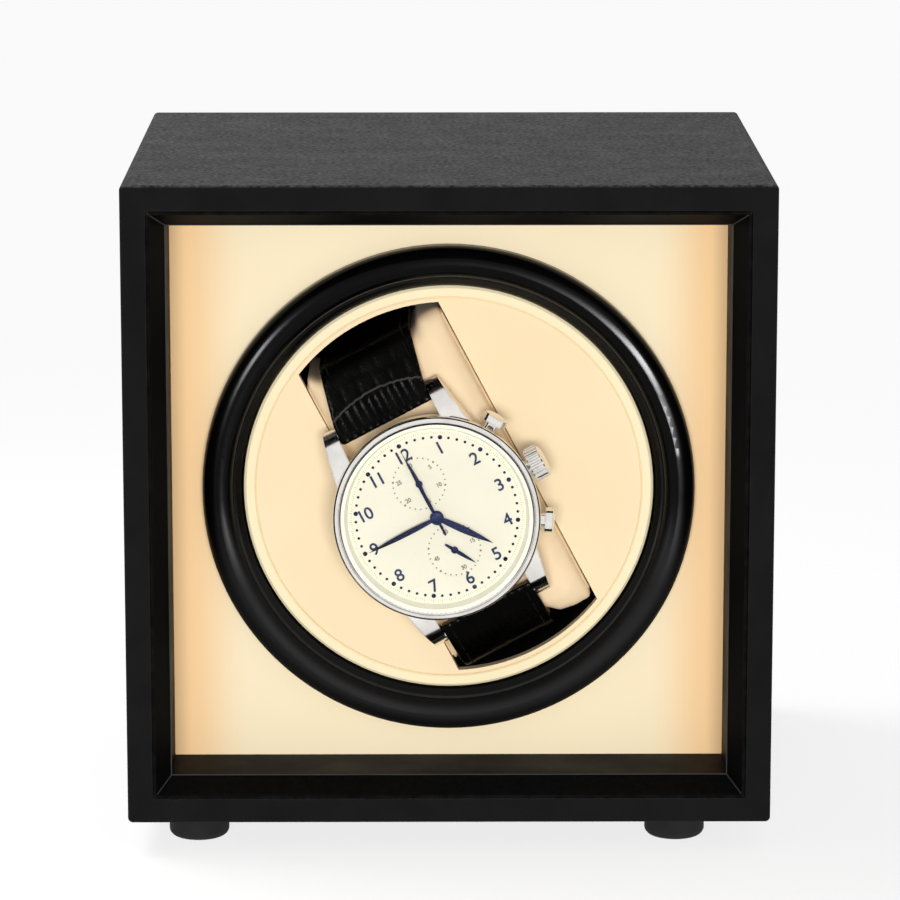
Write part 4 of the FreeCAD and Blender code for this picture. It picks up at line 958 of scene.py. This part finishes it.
@dataclass
class Cushion:
    """The loose pillow: a stuffed form with a sewn seam round each long edge."""

    rack: FinishRack
    place: Place
    voxel: float = 1.4 * MM
    smoothing: int = 2
    slack: float = 0.3 * MM
    pressure: float = 4.0
    swell_limit: float = 0.4 * MM
    strap_half: float = 10.0 * MM
    strap_dent: float = 0.3 * MM
    dent_edge: float = 1.0 * MM
    seam_inset: float = 0.45 * MM
    side_swell: float = 0.15 * MM
    end_swell: float = 1.9 * MM
    end_run: float = 9.0 * MM
    strap_margin: float = 1.4 * MM
    seam_radius: float = 0.28 * MM
    seam_sides: int = 6
    frames: int = 20

    def build(self) -> None:
        """Builds the cushion and its seams."""
        cushion = remeshed("pillow", "cushion", self.voxel, self.smoothing)
        start = coordinates(cushion.data) - normals(cushion.data) * self.slack
        put_coordinates(cushion.data, start)
        self.inflate(cushion, start)
        self.press(cushion)
        self.plump(cushion)
        round_off = cushion.modifiers.new("round_off", "SUBSURF")
        round_off.levels = 1
        round_off.render_levels = 1
        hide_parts("pillow")
        fit(cushion, "watch_pillow", self.rack.materials["pillow_cover"])
        self.sew(cushion)

    def inflate(self, cushion: bpy.types.Object, start: np.ndarray) -> None:
        """Blows the cover up with cloth pressure, and keeps each point near its start.

        Args:
            cushion: the cushion, in its slack form.
            start: where its corners began.
        """
        cloth = cushion.modifiers.new("stuffing", "CLOTH")
        cloth.settings.use_pressure = True
        cloth.settings.uniform_pressure_force = self.pressure
        cloth.settings.effector_weights.gravity = 0.0
        scene = bpy.context.scene
        for number in range(1, self.frames + 1):
            scene.frame_set(number)
        graph = bpy.context.evaluated_depsgraph_get()
        swollen = bpy.data.meshes.new_from_object(cushion.evaluated_get(graph))
        moved = coordinates(swollen) - start
        bpy.data.meshes.remove(swollen)
        cushion.modifiers.remove(cloth)
        scene.frame_set(1)
        length = np.maximum(np.linalg.norm(moved, axis=1, keepdims=True), TINY)
        put_coordinates(cushion.data, start + moved * np.minimum(1.0, self.swell_limit / length))

    def press(self, cushion: bpy.types.Object) -> None:
        """Dents the cushion where the strap goes round it.

        Args:
            cushion: the cushion, which is changed.
        """
        rows = coordinates(cushion.data)
        across = np.abs(self.place.local(rows)[:, 0])
        dented = np.clip((self.strap_half + self.dent_edge - across) / (2.0 * self.dent_edge), 0.0, 1.0)
        put_coordinates(cushion.data, rows - normals(cushion.data) * (dented * self.strap_dent)[:, None])

    def plump(self, cushion: bpy.types.Object) -> None:
        """Lets the stuffing push out beside the strap, into the corners of the pocket.

        Args:
            cushion: the cushion, which is changed.
        """
        rows = self.place.local(coordinates(cushion.data))
        half_wide, half_long = np.abs(rows[:, 0]).max(), np.abs(rows[:, 1]).max()
        columns = np.round(rows[:, 0] / self.voxel)
        grown = rows.copy()
        grown[:, 0] *= 1.0 + self.side_swell / half_wide
        for node, way in (("strap_upper", 1.0), ("strap_lower", -1.0)):
            strap = self.place.local(coordinates(frame["nodes"][node].data))
            ends = strap[strap[:, 1] * way > half_long - self.end_run / 2.0]
            free = np.maximum(ends[:, 0].min() - rows[:, 0], rows[:, 0] - ends[:, 0].max())
            beside = np.clip(free / self.strap_margin, 0.0, 1.0)
            along = rows[:, 1] * way
            places = np.unique(columns)
            reaches = [along[columns == place].max() for place in places]
            reach = np.interp(rows[:, 0], places * self.voxel, reaches)
            near = np.clip((along - reach + self.end_run) / self.end_run, 0.0, 1.0)
            grown[:, 1] += way * (half_long + self.end_swell - reach) * beside * near**2
        put_coordinates(cushion.data, self.place.world(grown))

    def sew(self, cushion: bpy.types.Object) -> None:
        """Lays a sewn seam round each long edge, on the cushion's own surface.

        Args:
            cushion: the finished cushion.
        """
        across = self.place.local(coordinates(cushion.data))[:, 0]
        edges = {"left": across.min() + self.seam_inset, "right": across.max() - self.seam_inset}
        for side, edge in edges.items():
            cut = bmesh.new()
            cut.from_mesh(cushion.data)
            spot = self.place.point(edge, 0.0)
            whole = cut.verts[:] + cut.edges[:] + cut.faces[:]
            found = bmesh.ops.bisect_plane(cut, geom=whole, plane_co=spot, plane_no=self.place.across)
            path = self.loop([item for item in found["geom_cut"] if isinstance(item, bmesh.types.BMVert)])
            cut.free()
            pile = MeshPile()
            pile.tube(path, self.seam_radius, self.seam_sides, closed=True)
            seam = pile.piece(f"pillow_seam_{side}")
            fit(seam, "watch_pillow", self.rack.materials["pillow_seam"])

    def loop(self, corners: list[bmesh.types.BMVert]) -> Path:
        """Puts the corners of a cut in order round its middle.

        Args:
            corners: the cut's corners in any order.

        Returns:
            The corners in order.
        """
        rows = self.place.local(np.array([corner.co for corner in corners]))
        middle = rows.mean(axis=0)
        order = np.argsort(np.arctan2(rows[:, 2] - middle[2], rows[:, 1] - middle[1]))
        return [corners[index].co.copy() for index in order]


@dataclass
class StrapLoop:
    """The line that the strap follows round the pillow, from the middle of its front over twelve."""

    place: Place
    corner: float
    steps: int = 720
    steepness: float = 1e6
    middle: np.ndarray = field(init=False)
    spots: np.ndarray = field(init=False)
    facing: np.ndarray = field(init=False)
    travel: np.ndarray = field(init=False)
    length: float = field(init=False)
    step: float = field(init=False)

    def __post_init__(self) -> None:
        """Samples the pillow's side outline."""
        rows = self.place.local(coordinates(frame["nodes"]["pillow"].data))
        low, high = rows.min(axis=0), rows.max(axis=0)
        self.middle = (low + high) / 2.0
        half = (high - low)[1:] / 2.0 - self.corner
        angle = np.linspace(0.0, 2.0 * math.pi, self.steps, endpoint=False)
        facing = np.stack([np.sin(angle), np.cos(angle)], axis=1)
        core = np.clip(facing * self.steepness, -1.0, 1.0) * half
        self.spots, self.facing = self.resample(core + facing * self.corner, facing)
        runs = np.linalg.norm(np.diff(self.spots, axis=0, append=self.spots[:1]), axis=1)
        self.length = float(runs.sum())
        self.step = self.length / self.steps
        self.travel = np.concatenate([[0.0], np.cumsum(runs)[:-1]])

    def resample(self, spots: np.ndarray, facing: np.ndarray) -> tuple[np.ndarray, np.ndarray]:
        """Spreads the samples evenly along the outline.

        Args:
            spots: corners of the outline.
            facing: the outline's outward direction at each.

        Returns:
            The even samples and their directions.
        """
        closed = np.vstack([spots, spots[:1]])
        turned = np.vstack([facing, facing[:1]])
        runs = np.linalg.norm(np.diff(closed, axis=0), axis=1)
        travel = np.concatenate([[0.0], np.cumsum(runs)])
        even = np.linspace(0.0, travel[-1], self.steps, endpoint=False)
        new_spots, new_facing = (
            np.stack([np.interp(even, travel, column) for column in rows.T], axis=1)
            for rows in (closed, turned)
        )
        return new_spots, new_facing / np.linalg.norm(new_facing, axis=1, keepdims=True)

    def beyond(self, number: int, run: float) -> int:
        """The sample that lies a distance further along, or back where the distance is negative."""
        return (number + round(run / self.step)) % self.steps

    def nearest(self, rows: np.ndarray) -> np.ndarray:
        """Finds the sample nearest to each point.

        Args:
            rows: across, along and out of each point.

        Returns:
            The number of the nearest sample for each point.
        """
        flat = rows[:, 1:] - self.middle[1:]
        gaps = ((flat[:, None, :] - self.spots[None, :, :]) ** 2).sum(axis=2)
        return gaps.argmin(axis=1)

    def outside(self, number: int, across: float, lift: float) -> np.ndarray:
        """A place over one sample, as across, along and out."""
        along, out = self.spots[number] + self.facing[number] * lift + self.middle[1:]
        return np.array([across, along, out])


@dataclass
class Strap:
    """The leather strap: scaled hide outside, tan lining inside, stitched along both edges."""

    rack: FinishRack
    place: Place
    corner: float = 3.4 * MM
    voxel: float = 0.42 * MM
    smoothing: int = 3
    keeper_voxel: float = 0.3 * MM
    keeper_smoothing: int = 2
    rib_width: float = 1.6 * MM
    rib_run: float = 6.3 * MM
    scale_length: float = 3.4 * MM
    scale_width: float = 3.6 * MM
    groove: float = 0.42 * MM
    rib_relief: float = 0.17 * MM
    scale_relief: float = 0.07 * MM
    across_wander: float = 0.35 * MM
    across_wave: float = 2.9 * MM
    along_wander: float = 0.3 * MM
    along_wave: float = 3.7 * MM
    lining_turn: float = -0.6
    probe: float = 9.0 * MM
    slice_half: float = 0.5 * MM
    lift_span: tuple[float, float] = (0.8 * MM, 8.0 * MM)
    fewest_corners: int = 6
    stitch_inset: float = 1.7 * MM
    stitch_length: float = 1.9 * MM
    stitch_pitch: float = 2.6 * MM
    stitch_radius: float = 0.2 * MM
    stitch_sides: int = 6
    stitch_parts: tuple[float, ...] = (-0.5, -0.25, 0.0, 0.25, 0.5)
    stitched_share: float = 0.42
    crease_radius: float = 0.24 * MM
    crease_run: float = 5.0 * MM
    crease_arch: float = 2.0 * MM
    crease_inset: float = 0.4 * MM
    crease_points: int = 41

    def build(self) -> None:
        """Builds both halves and the keeper loops."""
        loop = StrapLoop(self.place, self.corner)
        for node, name in (("strap_upper", "strap_upper_hide"), ("strap_lower", "strap_lower_hide")):
            hide = remeshed(node, name, self.voxel, self.smoothing)
            self.emboss(hide, loop)
            self.line(hide, loop)
            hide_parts(node)
            fit(hide, "watch_pillow", self.rack.materials["strap_leather"])
            self.stitch(hide, loop, name.replace("hide", "stitching"))
            if node == "strap_upper":
                self.crease(hide, loop)
        keepers = remeshed("strap_keepers", "keeper_loops", self.keeper_voxel, self.keeper_smoothing)
        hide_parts("strap_keepers")
        fit(keepers, "watch_pillow", self.rack.materials["strap_leather"])

    def head(self, hide: bpy.types.Object, loop: StrapLoop) -> tuple[int, int]:
        """Finds the strap's end at the case.

        Args:
            hide: the strap half.
            loop: the line round the pillow.

        Returns:
            The sample at the end, and 1 or -1 for the way that the strap leaves it.
        """
        rows = self.place.local(coordinates(hide.data))
        front = rows[rows[:, 2] > loop.middle[2]]
        upper = front[:, 1].mean() > loop.middle[1]
        end = front[np.abs(front[:, 1] - loop.middle[1]).argmin()]
        return int(loop.nearest(end[None, :])[0]), 1 if upper else -1

    def distance(self, hide: bpy.types.Object, loop: StrapLoop, numbers: np.ndarray) -> np.ndarray:
        """Measures how far samples lie from the strap's end at the case, along the strap.

        Args:
            hide: the strap half.
            loop: the line round the pillow.
            numbers: the samples.

        Returns:
            The distance of each.
        """
        first, way = self.head(hide, loop)
        return (way * (loop.travel[numbers] - loop.travel[first])) % loop.length

    def emboss(self, hide: bpy.types.Object, loop: StrapLoop) -> None:
        """Presses grooves between the scales: ribs near the case, squarer scales beyond them.

        Args:
            hide: the strap half, which is changed.
            loop: the line round the pillow.
        """
        world = coordinates(hide.data)
        rows = self.place.local(world)
        numbers = loop.nearest(rows)
        run = self.distance(hide, loop, numbers)
        across = rows[:, 0] - np.median(rows[:, 0])
        wander = self.across_wander * np.sin(across / self.across_wave)
        wander += self.along_wander * np.sin(run / self.along_wave)
        near_case = run < self.rib_run
        width = np.where(near_case, self.rib_width, self.scale_width)
        row = np.floor((run + wander) / self.scale_length)
        stagger = np.where(near_case, 0.0, (row % 2) * 0.5)
        column_edge = self.edge_distance((across + wander) / width + stagger) * width
        row_edge = self.edge_distance((run + wander) / self.scale_length) * self.scale_length
        row_edge = np.where(near_case, self.rib_run, row_edge)
        nearest_edge = np.minimum(column_edge, row_edge)
        sunk = np.exp(-((nearest_edge / self.groove) ** 2))
        outward = (normals(hide.data) * self.outward(loop, numbers)).sum(axis=1)
        relief = np.where(near_case, self.rib_relief, self.scale_relief)
        depth = relief * sunk * np.clip(outward, 0.0, 1.0)
        put_coordinates(hide.data, world - normals(hide.data) * depth[:, None])

    def edge_distance(self, count: np.ndarray) -> np.ndarray:
        """How far each value is from the nearest whole number."""
        return np.abs(count - np.round(count))

    def outward(self, loop: StrapLoop, numbers: np.ndarray) -> np.ndarray:
        """Finds the direction away from the pillow at samples of the loop.

        Args:
            loop: the line round the pillow.
            numbers: the samples.

        Returns:
            One row of frame coordinates for each sample.
        """
        rows = np.column_stack([np.zeros(len(numbers)), loop.facing[numbers]])
        return self.place.world(rows) - np.array(self.place.centre)

    def line(self, hide: bpy.types.Object, loop: StrapLoop) -> None:
        """Gives the faces that lie on the pillow the tan lining.

        Args:
            hide: the strap half, which is changed.
            loop: the line round the pillow.
        """
        for finish in ("strap_leather", "strap_lining"):
            hide.data.materials.append(self.rack.materials[finish])
        count = len(hide.data.polygons)
        centres = np.empty(count * 3)
        facing = np.empty(count * 3)
        hide.data.polygons.foreach_get("center", centres)
        hide.data.polygons.foreach_get("normal", facing)
        numbers = loop.nearest(self.place.local(centres.reshape(-1, 3)))
        turn = (facing.reshape(-1, 3) * self.outward(loop, numbers)).sum(axis=1)
        inward = turn < self.lining_turn
        hide.data.polygons.foreach_set("material_index", inward.astype(np.int32))

    def surface(self, tree: BVHTree, loop: StrapLoop, number: int, across: float) -> Vector | None:
        """Finds the strap's outer face over a sample.

        Args:
            tree: the strap's faces.
            loop: the line round the pillow.
            number: the sample.
            across: the place across the pillow.

        Returns:
            The point on the outer face, or nothing where the strap has none.
        """
        above = Vector(self.place.world(loop.outside(number, across, self.probe)))
        below = Vector(self.place.world(loop.outside(number, across, 0.0)))
        return tree.ray_cast(above, (below - above).normalized(), self.probe)[0]

    def faces(self, hide: bpy.types.Object) -> BVHTree:
        """The strap's faces, ready to be probed."""
        mesh = hide.data
        return BVHTree.FromPolygons([v.co for v in mesh.vertices], [p.vertices[:] for p in mesh.polygons])

    def sides(self, hide: bpy.types.Object, loop: StrapLoop, number: int) -> tuple[float, float] | None:
        """Finds the strap's left and right edges at a sample.

        Args:
            hide: the strap half.
            loop: the line round the pillow.
            number: the sample.

        Returns:
            The places across the pillow, or nothing where the strap isn't.
        """
        rows = self.place.local(coordinates(hide.data))
        flat = rows[:, 1:] - loop.middle[1:] - loop.spots[number]
        along = flat @ np.array([loop.facing[number][1], -loop.facing[number][0]])
        lift = flat @ loop.facing[number]
        lowest, highest = self.lift_span
        here = (np.abs(along) < self.slice_half) & (lift > lowest) & (lift < highest)
        if here.sum() < self.fewest_corners:
            return None
        return float(rows[here, 0].min()), float(rows[here, 0].max())

    def stitch(self, hide: bpy.types.Object, loop: StrapLoop, name: str) -> None:
        """Sews a row of stitches along both edges of a strap half.

        Args:
            hide: the strap half.
            loop: the line round the pillow.
            name: the name of the stitching.
        """
        tree = self.faces(hide)
        first, way = self.head(hide, loop)
        pile = MeshPile()
        reach = int(self.stitched_share * loop.length / self.stitch_pitch)
        for count in range(1, reach):
            number = loop.beyond(first, way * count * self.stitch_pitch)
            edges = self.sides(hide, loop, number)
            if edges is None:
                continue
            for across in (edges[0] + self.stitch_inset, edges[1] - self.stitch_inset):
                near = [loop.beyond(number, part * self.stitch_length) for part in self.stitch_parts]
                path = [self.surface(tree, loop, sample, across) for sample in near]
                if all(path):
                    pile.tube(path, self.stitch_radius, self.stitch_sides)
        fit(pile.piece(name), "watch_pillow", self.rack.materials["strap_thread"])

    def crease(self, hide: bpy.types.Object, loop: StrapLoop) -> None:
        """Lays the folded edge that crosses the upper half beyond its padded end, as a bead in a lighter tone
        that paints the fold's highlight.

        Args:
            hide: the upper strap half.
            loop: the line round the pillow.
        """
        tree = self.faces(hide)
        first, way = self.head(hide, loop)
        low, high = self.sides(hide, loop, loop.beyond(first, way * self.crease_run))
        middle, half = (low + high) / 2.0, (high - low) / 2.0 - self.crease_inset
        path = []
        for share in np.linspace(-1.0, 1.0, self.crease_points):
            run = self.crease_run + self.crease_arch * (1.0 - share**2)
            number = loop.beyond(first, way * run)
            path.append(self.surface(tree, loop, number, middle + half * float(share)))
        pile = MeshPile()
        pile.tube([spot for spot in path if spot], self.crease_radius)
        fit(pile.piece("strap_crease"), "watch_pillow", self.rack.materials["strap_crease"])


class Mark(Enum):
    """The marks on the dial: what is dark, the numerals, and what is pale."""

    DARK = "hand_blue"
    FIGURE = "numeral_blue"
    PALE = "print_grey"


@dataclass
class Dial:
    """The dial's applied numerals, its printed tracks and the caps on the hands."""

    rack: FinishRack
    place: Place
    track_radius: float = 16.0 * MM
    numeral_radius: float = 13.9 * MM
    numeral_height: float = 2.45 * MM
    numeral_rise: float = 0.12 * MM
    numeral_bevel: float = 0.013
    numeral_spacing: float = 0.92
    numeral_resolution: int = 4
    small_dot: float = 0.28 * MM
    large_dot: float = 0.46 * MM
    dot_sides: int = 14
    dot_shoulder: float = 0.6
    dot_top: float = 0.7
    print_rise: float = 0.03 * MM
    scale_gap: float = 0.55 * MM
    scale_sides: int = 144
    flange_width: float = 0.8 * MM
    ticks: int = 240
    ticks_in_group: int = 4
    tick_length: float = 0.6 * MM
    tick_gap: float = 0.15 * MM
    tick_radius: float = 0.05 * MM
    tick_sides: int = 4
    short_tick: float = 0.55
    tick_lift: float = 1.2
    subdial_gap: float = 2.1 * MM
    subdial_inset: float = 0.25 * MM
    subdial_lift: float = 0.1 * MM
    subdial_dots: int = 30
    subdial_dot: float = 0.16 * MM
    subdial_large: float = 1.4
    subdial_sides: int = 8
    figure_inset: float = 1.15 * MM
    figure_height: float = 0.85 * MM
    cap_radius: float = 1.3 * MM
    cap_rise: float = 0.2 * MM
    small_cap_radius: float = 0.66 * MM
    small_cap_rise: float = 0.12 * MM
    cap_rim: float = 0.4
    cap_turns: tuple[float, ...] = (0.4, 0.8, 1.1, 1.35)
    cap_sides: int = 32

    def build(self) -> None:
        """Builds everything that stands on the dial."""
        self.numerals()
        self.minute_track()
        self.outer_scale()
        for name in SMALL_DIALS:
            self.subdial(name)
        self.cap("chrono_hand", self.place.centre, self.cap_radius, self.cap_rise)
        for name in SMALL_DIALS:
            axis = Vector(joint(f"{name}_spin")["pos_m"])
            self.cap(f"{name}_hand", axis, self.small_cap_radius, self.small_cap_rise)

    def dot(self, pile: MeshPile, spot: Vector, radius: float, sides: int) -> None:
        """Prints one slightly domed dot.

        Args:
            pile: the pile that takes it.
            spot: the place of its middle.
            radius: half its width.
            sides: how many sides it has.
        """
        rise = self.print_rise
        profile = [(radius, -rise), (radius, self.dot_shoulder * rise), (self.dot_top * radius, rise)]
        pile.turned(self.place.moved(spot), profile, sides)

    def fix(self, pile: MeshPile, name: str, finish: str) -> None:
        """Makes a pile into a piece that moves with the watch."""
        fit(pile.piece(name), "watch_pillow", self.rack.materials[finish])

    def numerals(self) -> None:
        """Sets the twelve numbers upright on the watch, with softened edges."""
        pile = MeshPile()
        for hour in range(1, HOURS + 1):
            spot = self.place.clock(self.numeral_radius, FULL_TURN / HOURS * hour)
            self.write(pile, str(hour), spot, self.numeral_height)
        self.fix(pile, "dial_numerals", Mark.FIGURE.value)

    def write(self, pile: MeshPile, text: str, spot: Vector, height: float) -> None:
        """Adds a number to a pile, upright on the watch and centred on a place.

        Args:
            pile: the pile that takes it.
            text: the number.
            spot: the place of its middle.
            height: how tall its figures are.
        """
        letters = bpy.data.curves.new("number", "FONT")
        letters.body = text
        letters.size = 1.0
        letters.align_x = "CENTER"
        letters.space_character = self.numeral_spacing
        letters.resolution_u = self.numeral_resolution
        holder = bpy.data.objects.new("number", letters)
        flat = bpy.data.meshes.new_from_object(holder)
        rows = coordinates(flat)
        low, high = rows.min(axis=0), rows.max(axis=0)
        size = height / (high[1] - low[1])
        middle = (low + high) / 2.0
        letters.extrude = self.numeral_rise / size
        letters.bevel_depth = self.numeral_bevel
        solid = bpy.data.meshes.new_from_object(holder)
        local = self.place.moved(spot)
        rows = coordinates(solid)
        rows[:, :2] -= middle[:2]
        points = [local.point(*row) for row in rows * size]
        pile.add(points, [tuple(face.vertices) for face in solid.polygons])
        bpy.data.objects.remove(holder)
        bpy.data.curves.remove(letters)
        for mesh in (flat, solid):
            bpy.data.meshes.remove(mesh)

    def minute_track(self) -> None:
        """Prints sixty dots, a larger one at each hour."""
        pile = MeshPile()
        for minute in range(MINUTES):
            radius = self.small_dot if minute % MINUTES_IN_MARK else self.large_dot
            spot = self.place.clock(self.track_radius, FULL_TURN / MINUTES * minute)
            self.dot(pile, spot, radius, self.dot_sides)
        self.fix(pile, "minute_track", Mark.DARK.value)

    def outer_scale(self) -> None:
        """Prints the pale ring at the dial's edge and its fine ticks."""
        edge = (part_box("watch_dial")[1].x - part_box("watch_dial")[0].x) / 2.0 - self.flange_width
        inner = self.track_radius + self.scale_gap
        sides, rise = self.scale_sides, self.print_rise
        section = ((inner, 0.0), (inner, rise), (edge, rise), (edge, 0.0))
        points = [
            self.place.clock(radius, FULL_TURN * step / sides, out)
            for radius, out in section
            for step in range(sides)
        ]
        faces = []
        for ring in range(len(section)):
            faces += band(ring * sides, (ring + 1) % len(section) * sides, sides)
        pile = MeshPile()
        pile.add(points, faces)
        self.fix(pile, "outer_scale_ring", "scale_cream")
        ticks = MeshPile()
        for count in range(self.ticks):
            reach = self.tick_length * (self.short_tick if count % self.ticks_in_group else 1.0)
            degrees = FULL_TURN / self.ticks * count
            start, out = inner + self.tick_gap, self.tick_lift * rise
            path = [self.place.clock(radius, degrees, out) for radius in (start, start + reach)]
            ticks.tube(path, self.tick_radius, self.tick_sides)
        self.fix(ticks, "outer_scale_ticks", Mark.PALE.value)

    def subdial(self, name: str) -> None:
        """Prints one small dial: a ring of fine dots, every fifth of them larger, and its numbers.

        Args:
            name: the small hand that turns in it.
        """
        spot = Vector(joint(f"{name}_spin")["pos_m"])
        spot.y = self.place.centre.y + self.subdial_lift
        small = self.place.moved(spot)
        reach = (spot - self.place.centre).length
        radius = reach - self.subdial_gap - self.subdial_inset
        pile = MeshPile()
        for count in range(self.subdial_dots):
            size = self.subdial_dot * (1.0 if count % MINUTES_IN_MARK else self.subdial_large)
            place = small.clock(radius, FULL_TURN / self.subdial_dots * count)
            self.dot(pile, place, size, self.subdial_sides)
        numbers = SMALL_DIALS[name]
        for count, number in enumerate(numbers, 1):
            place = small.clock(radius - self.figure_inset, FULL_TURN / len(numbers) * count)
            self.write(pile, str(number), place, self.figure_height)
        self.fix(pile, f"{name}_track", Mark.PALE.value)

    def cap(self, hand: str, axis: Vector, radius: float, height: float) -> None:
        """Puts a domed cap on a hand's axis.

        Args:
            hand: the hand that it closes.
            axis: a place on the axis that the hand turns about.
            radius: half the cap's width.
            height: how far it stands out from the hand.
        """
        spot = Vector((axis.x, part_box(hand)[0].y, axis.z))
        rim = self.cap_rim
        profile = [(radius, 0.0), (radius, rim * height)]
        for turn in self.cap_turns:
            profile.append((radius * math.cos(turn), height * (rim + (1.0 - rim) * math.sin(turn))))
        pile = MeshPile()
        pile.turned(self.place.moved(spot), profile, self.cap_sides)
        fit(pile.piece(f"{hand}_cap"), hand, self.rack.materials["hand_blue"])


class LampUse(Enum):
    """What a lamp does: it lights and shows in gloss, only lights, or only glints on the glossy pieces."""

    PLAIN = "plain"
    FILL = "fill"
    GLINT = "glint"


@dataclass(frozen=True)
class Lamp:
    """One soft lamp: its place, its width and height, its power in watts, its use and its roll in degrees."""

    name: str
    spot: tuple[float, float, float]
    size: tuple[float, float]
    power: float
    use: LampUse
    roll: float = 0.0


@dataclass
class Studio:
    """The plain white surroundings, the soft lamps and the camera."""

    azimuth: float = -0.36
    elevation: float = 11.33
    distance: float = 0.927
    lens: float = 178.55
    sensor: float = 36.0
    target: tuple[float, float, float] = (0.00051, -0.000375, 0.06984)
    background: float = 0.955
    ambient: float = 0.36
    floor_tone: Colour = (0.95, 0.95, 0.95)
    floor_radius: float = 0.55
    floor_sides: int = 96
    floor_core: float = 0.12
    floor_cover: float = 0.3
    floor_glow: float = 0.4
    floor_roughness: float = 0.9
    floor_specular: float = 0.1
    lamps: tuple[Lamp, ...] = (
        Lamp("glint_left", (-0.62, -0.85, 0.31), (0.34, 0.13), 15.0, LampUse.GLINT, -35.0),
        Lamp("glint_right", (0.475, -1.04, 0.165), (0.52, 0.12), 48.0, LampUse.GLINT, 32.0),
        Lamp("overhead", (-0.42, 0.20, 0.62), (0.4, 0.3), 3.0, LampUse.PLAIN),
        Lamp("front_fill", (0.0, -1.3, 0.16), (0.6, 0.3), 12.6, LampUse.FILL),
    )
    glossy_pieces: tuple[str, ...] = ("bezel_ring", "strap_upper_hide", "strap_lower_hide")

    def build(self) -> None:
        """Sets up the whole studio."""
        scene = bpy.context.scene
        scene.view_settings.view_transform = "Standard"
        self.surroundings()
        self.floor()
        for lamp in self.lamps:
            self.hang(lamp)
        scene.camera = self.camera()

    def surroundings(self) -> None:
        """Makes the world: white to the eye, a plain level for the light that it gives."""
        world = bpy.data.worlds.new("white_studio")
        world.use_nodes = True
        tree = world.node_tree
        backdrop = tree.nodes["Background"]
        level = ramp(tree, seen_directly(tree), into=(self.ambient, self.background))
        tree.links.new(level, backdrop.inputs["Strength"])
        backdrop.inputs["Color"].default_value = WHITE
        bpy.context.scene.world = world

    def floor(self) -> None:
        """Lays the pale floor, a round sheet that thins out into the white behind it."""
        sides, radius = self.floor_sides, self.floor_radius
        turns = [2.0 * math.pi * step / sides for step in range(sides)]
        rim = [(radius * math.cos(turn), radius * math.sin(turn), 0.0) for turn in turns]
        mesh = bpy.data.meshes.new("floor")
        mesh.from_pydata(rim, [], [tuple(range(sides))])
        floor = show(bpy.data.objects.new("floor", mesh))
        plain = {
            "Base Color": (*self.floor_tone, 1.0),
            "Roughness": self.floor_roughness,
            "Specular IOR Level": self.floor_specular,
            "Emission Color": WHITE,
        }
        paper, tree, shader = new_material("studio_paper", plain)
        reach = add_node(tree, "ShaderNodeVectorMath", {0: object_place(tree)}, operation="LENGTH")
        fade = ramp(
            tree,
            reach.outputs["Value"],
            (self.floor_core, radius),
            (self.floor_cover, 0.0),
            interpolation_type="SMOOTHSTEP",
        )
        glow = maths(tree, "MULTIPLY", seen_directly(tree), self.floor_glow)
        tree.links.new(fade, shader.inputs["Alpha"])
        tree.links.new(glow, shader.inputs["Emission Strength"])
        mesh.materials.append(paper)

    def hang(self, lamp: Lamp) -> None:
        """Hangs one soft lamp that faces the box.

        Args:
            lamp: the lamp to hang.
        """
        data = bpy.data.lights.new(lamp.name, "AREA")
        data.shape = "RECTANGLE"
        data.size, data.size_y = lamp.size
        data.energy = lamp.power
        hung = bpy.data.objects.new(lamp.name, data)
        hung.location = lamp.spot
        hung.visible_glossy = lamp.use is not LampUse.FILL
        hung.visible_diffuse = lamp.use is not LampUse.GLINT
        facing = (Vector(self.target) - hung.location).to_track_quat("-Z", "Y")
        hung.rotation_euler = (facing @ Quaternion((0.0, 0.0, 1.0), math.radians(lamp.roll))).to_euler()
        bpy.context.scene.collection.objects.link(hung)
        if lamp.use is LampUse.GLINT:
            glossy = bpy.data.collections.new(f"{lamp.name}_glossy")
            for piece in self.glossy_pieces:
                glossy.objects.link(bpy.data.objects[piece])
            hung.light_linking.receiver_collection = glossy

    def camera(self) -> bpy.types.Object:
        """Sets the camera at the photograph's angle.

        Returns:
            The camera.
        """
        turn, rise = math.radians(self.azimuth), math.radians(self.elevation)
        back = Vector((math.sin(turn) * math.cos(rise), -math.cos(turn) * math.cos(rise), math.sin(rise)))
        data = bpy.data.cameras.new("camera")
        data.lens = self.lens
        data.sensor_width = self.sensor
        camera = bpy.data.objects.new("camera", data)
        camera.location = Vector(self.target) + back * self.distance
        camera.rotation_euler = (-back).to_track_quat("-Z", "Y").to_euler()
        bpy.context.scene.collection.objects.link(camera)
        return camera


def main() -> None:
    """Builds the winder's looks piece by piece."""
    logging.basicConfig(level=logging.INFO, format="%(message)s")
    rack = FinishRack()
    rack.dress_nodes()
    watch = watch_place()
    axis = Vector(joint("drum_spin")["pos_m"])
    drum = watch.moved(Vector((axis.x, 0.0, axis.z)))
    steps: list[Callable[[], None]] = [
        Cabinet(rack).build,
        Cushion(rack, drum).build,
        Strap(rack, drum).build,
        Dial(rack, watch).build,
        Studio().build,
    ]
    for step in steps:
        step()


if __name__ == "__main__":
    main()
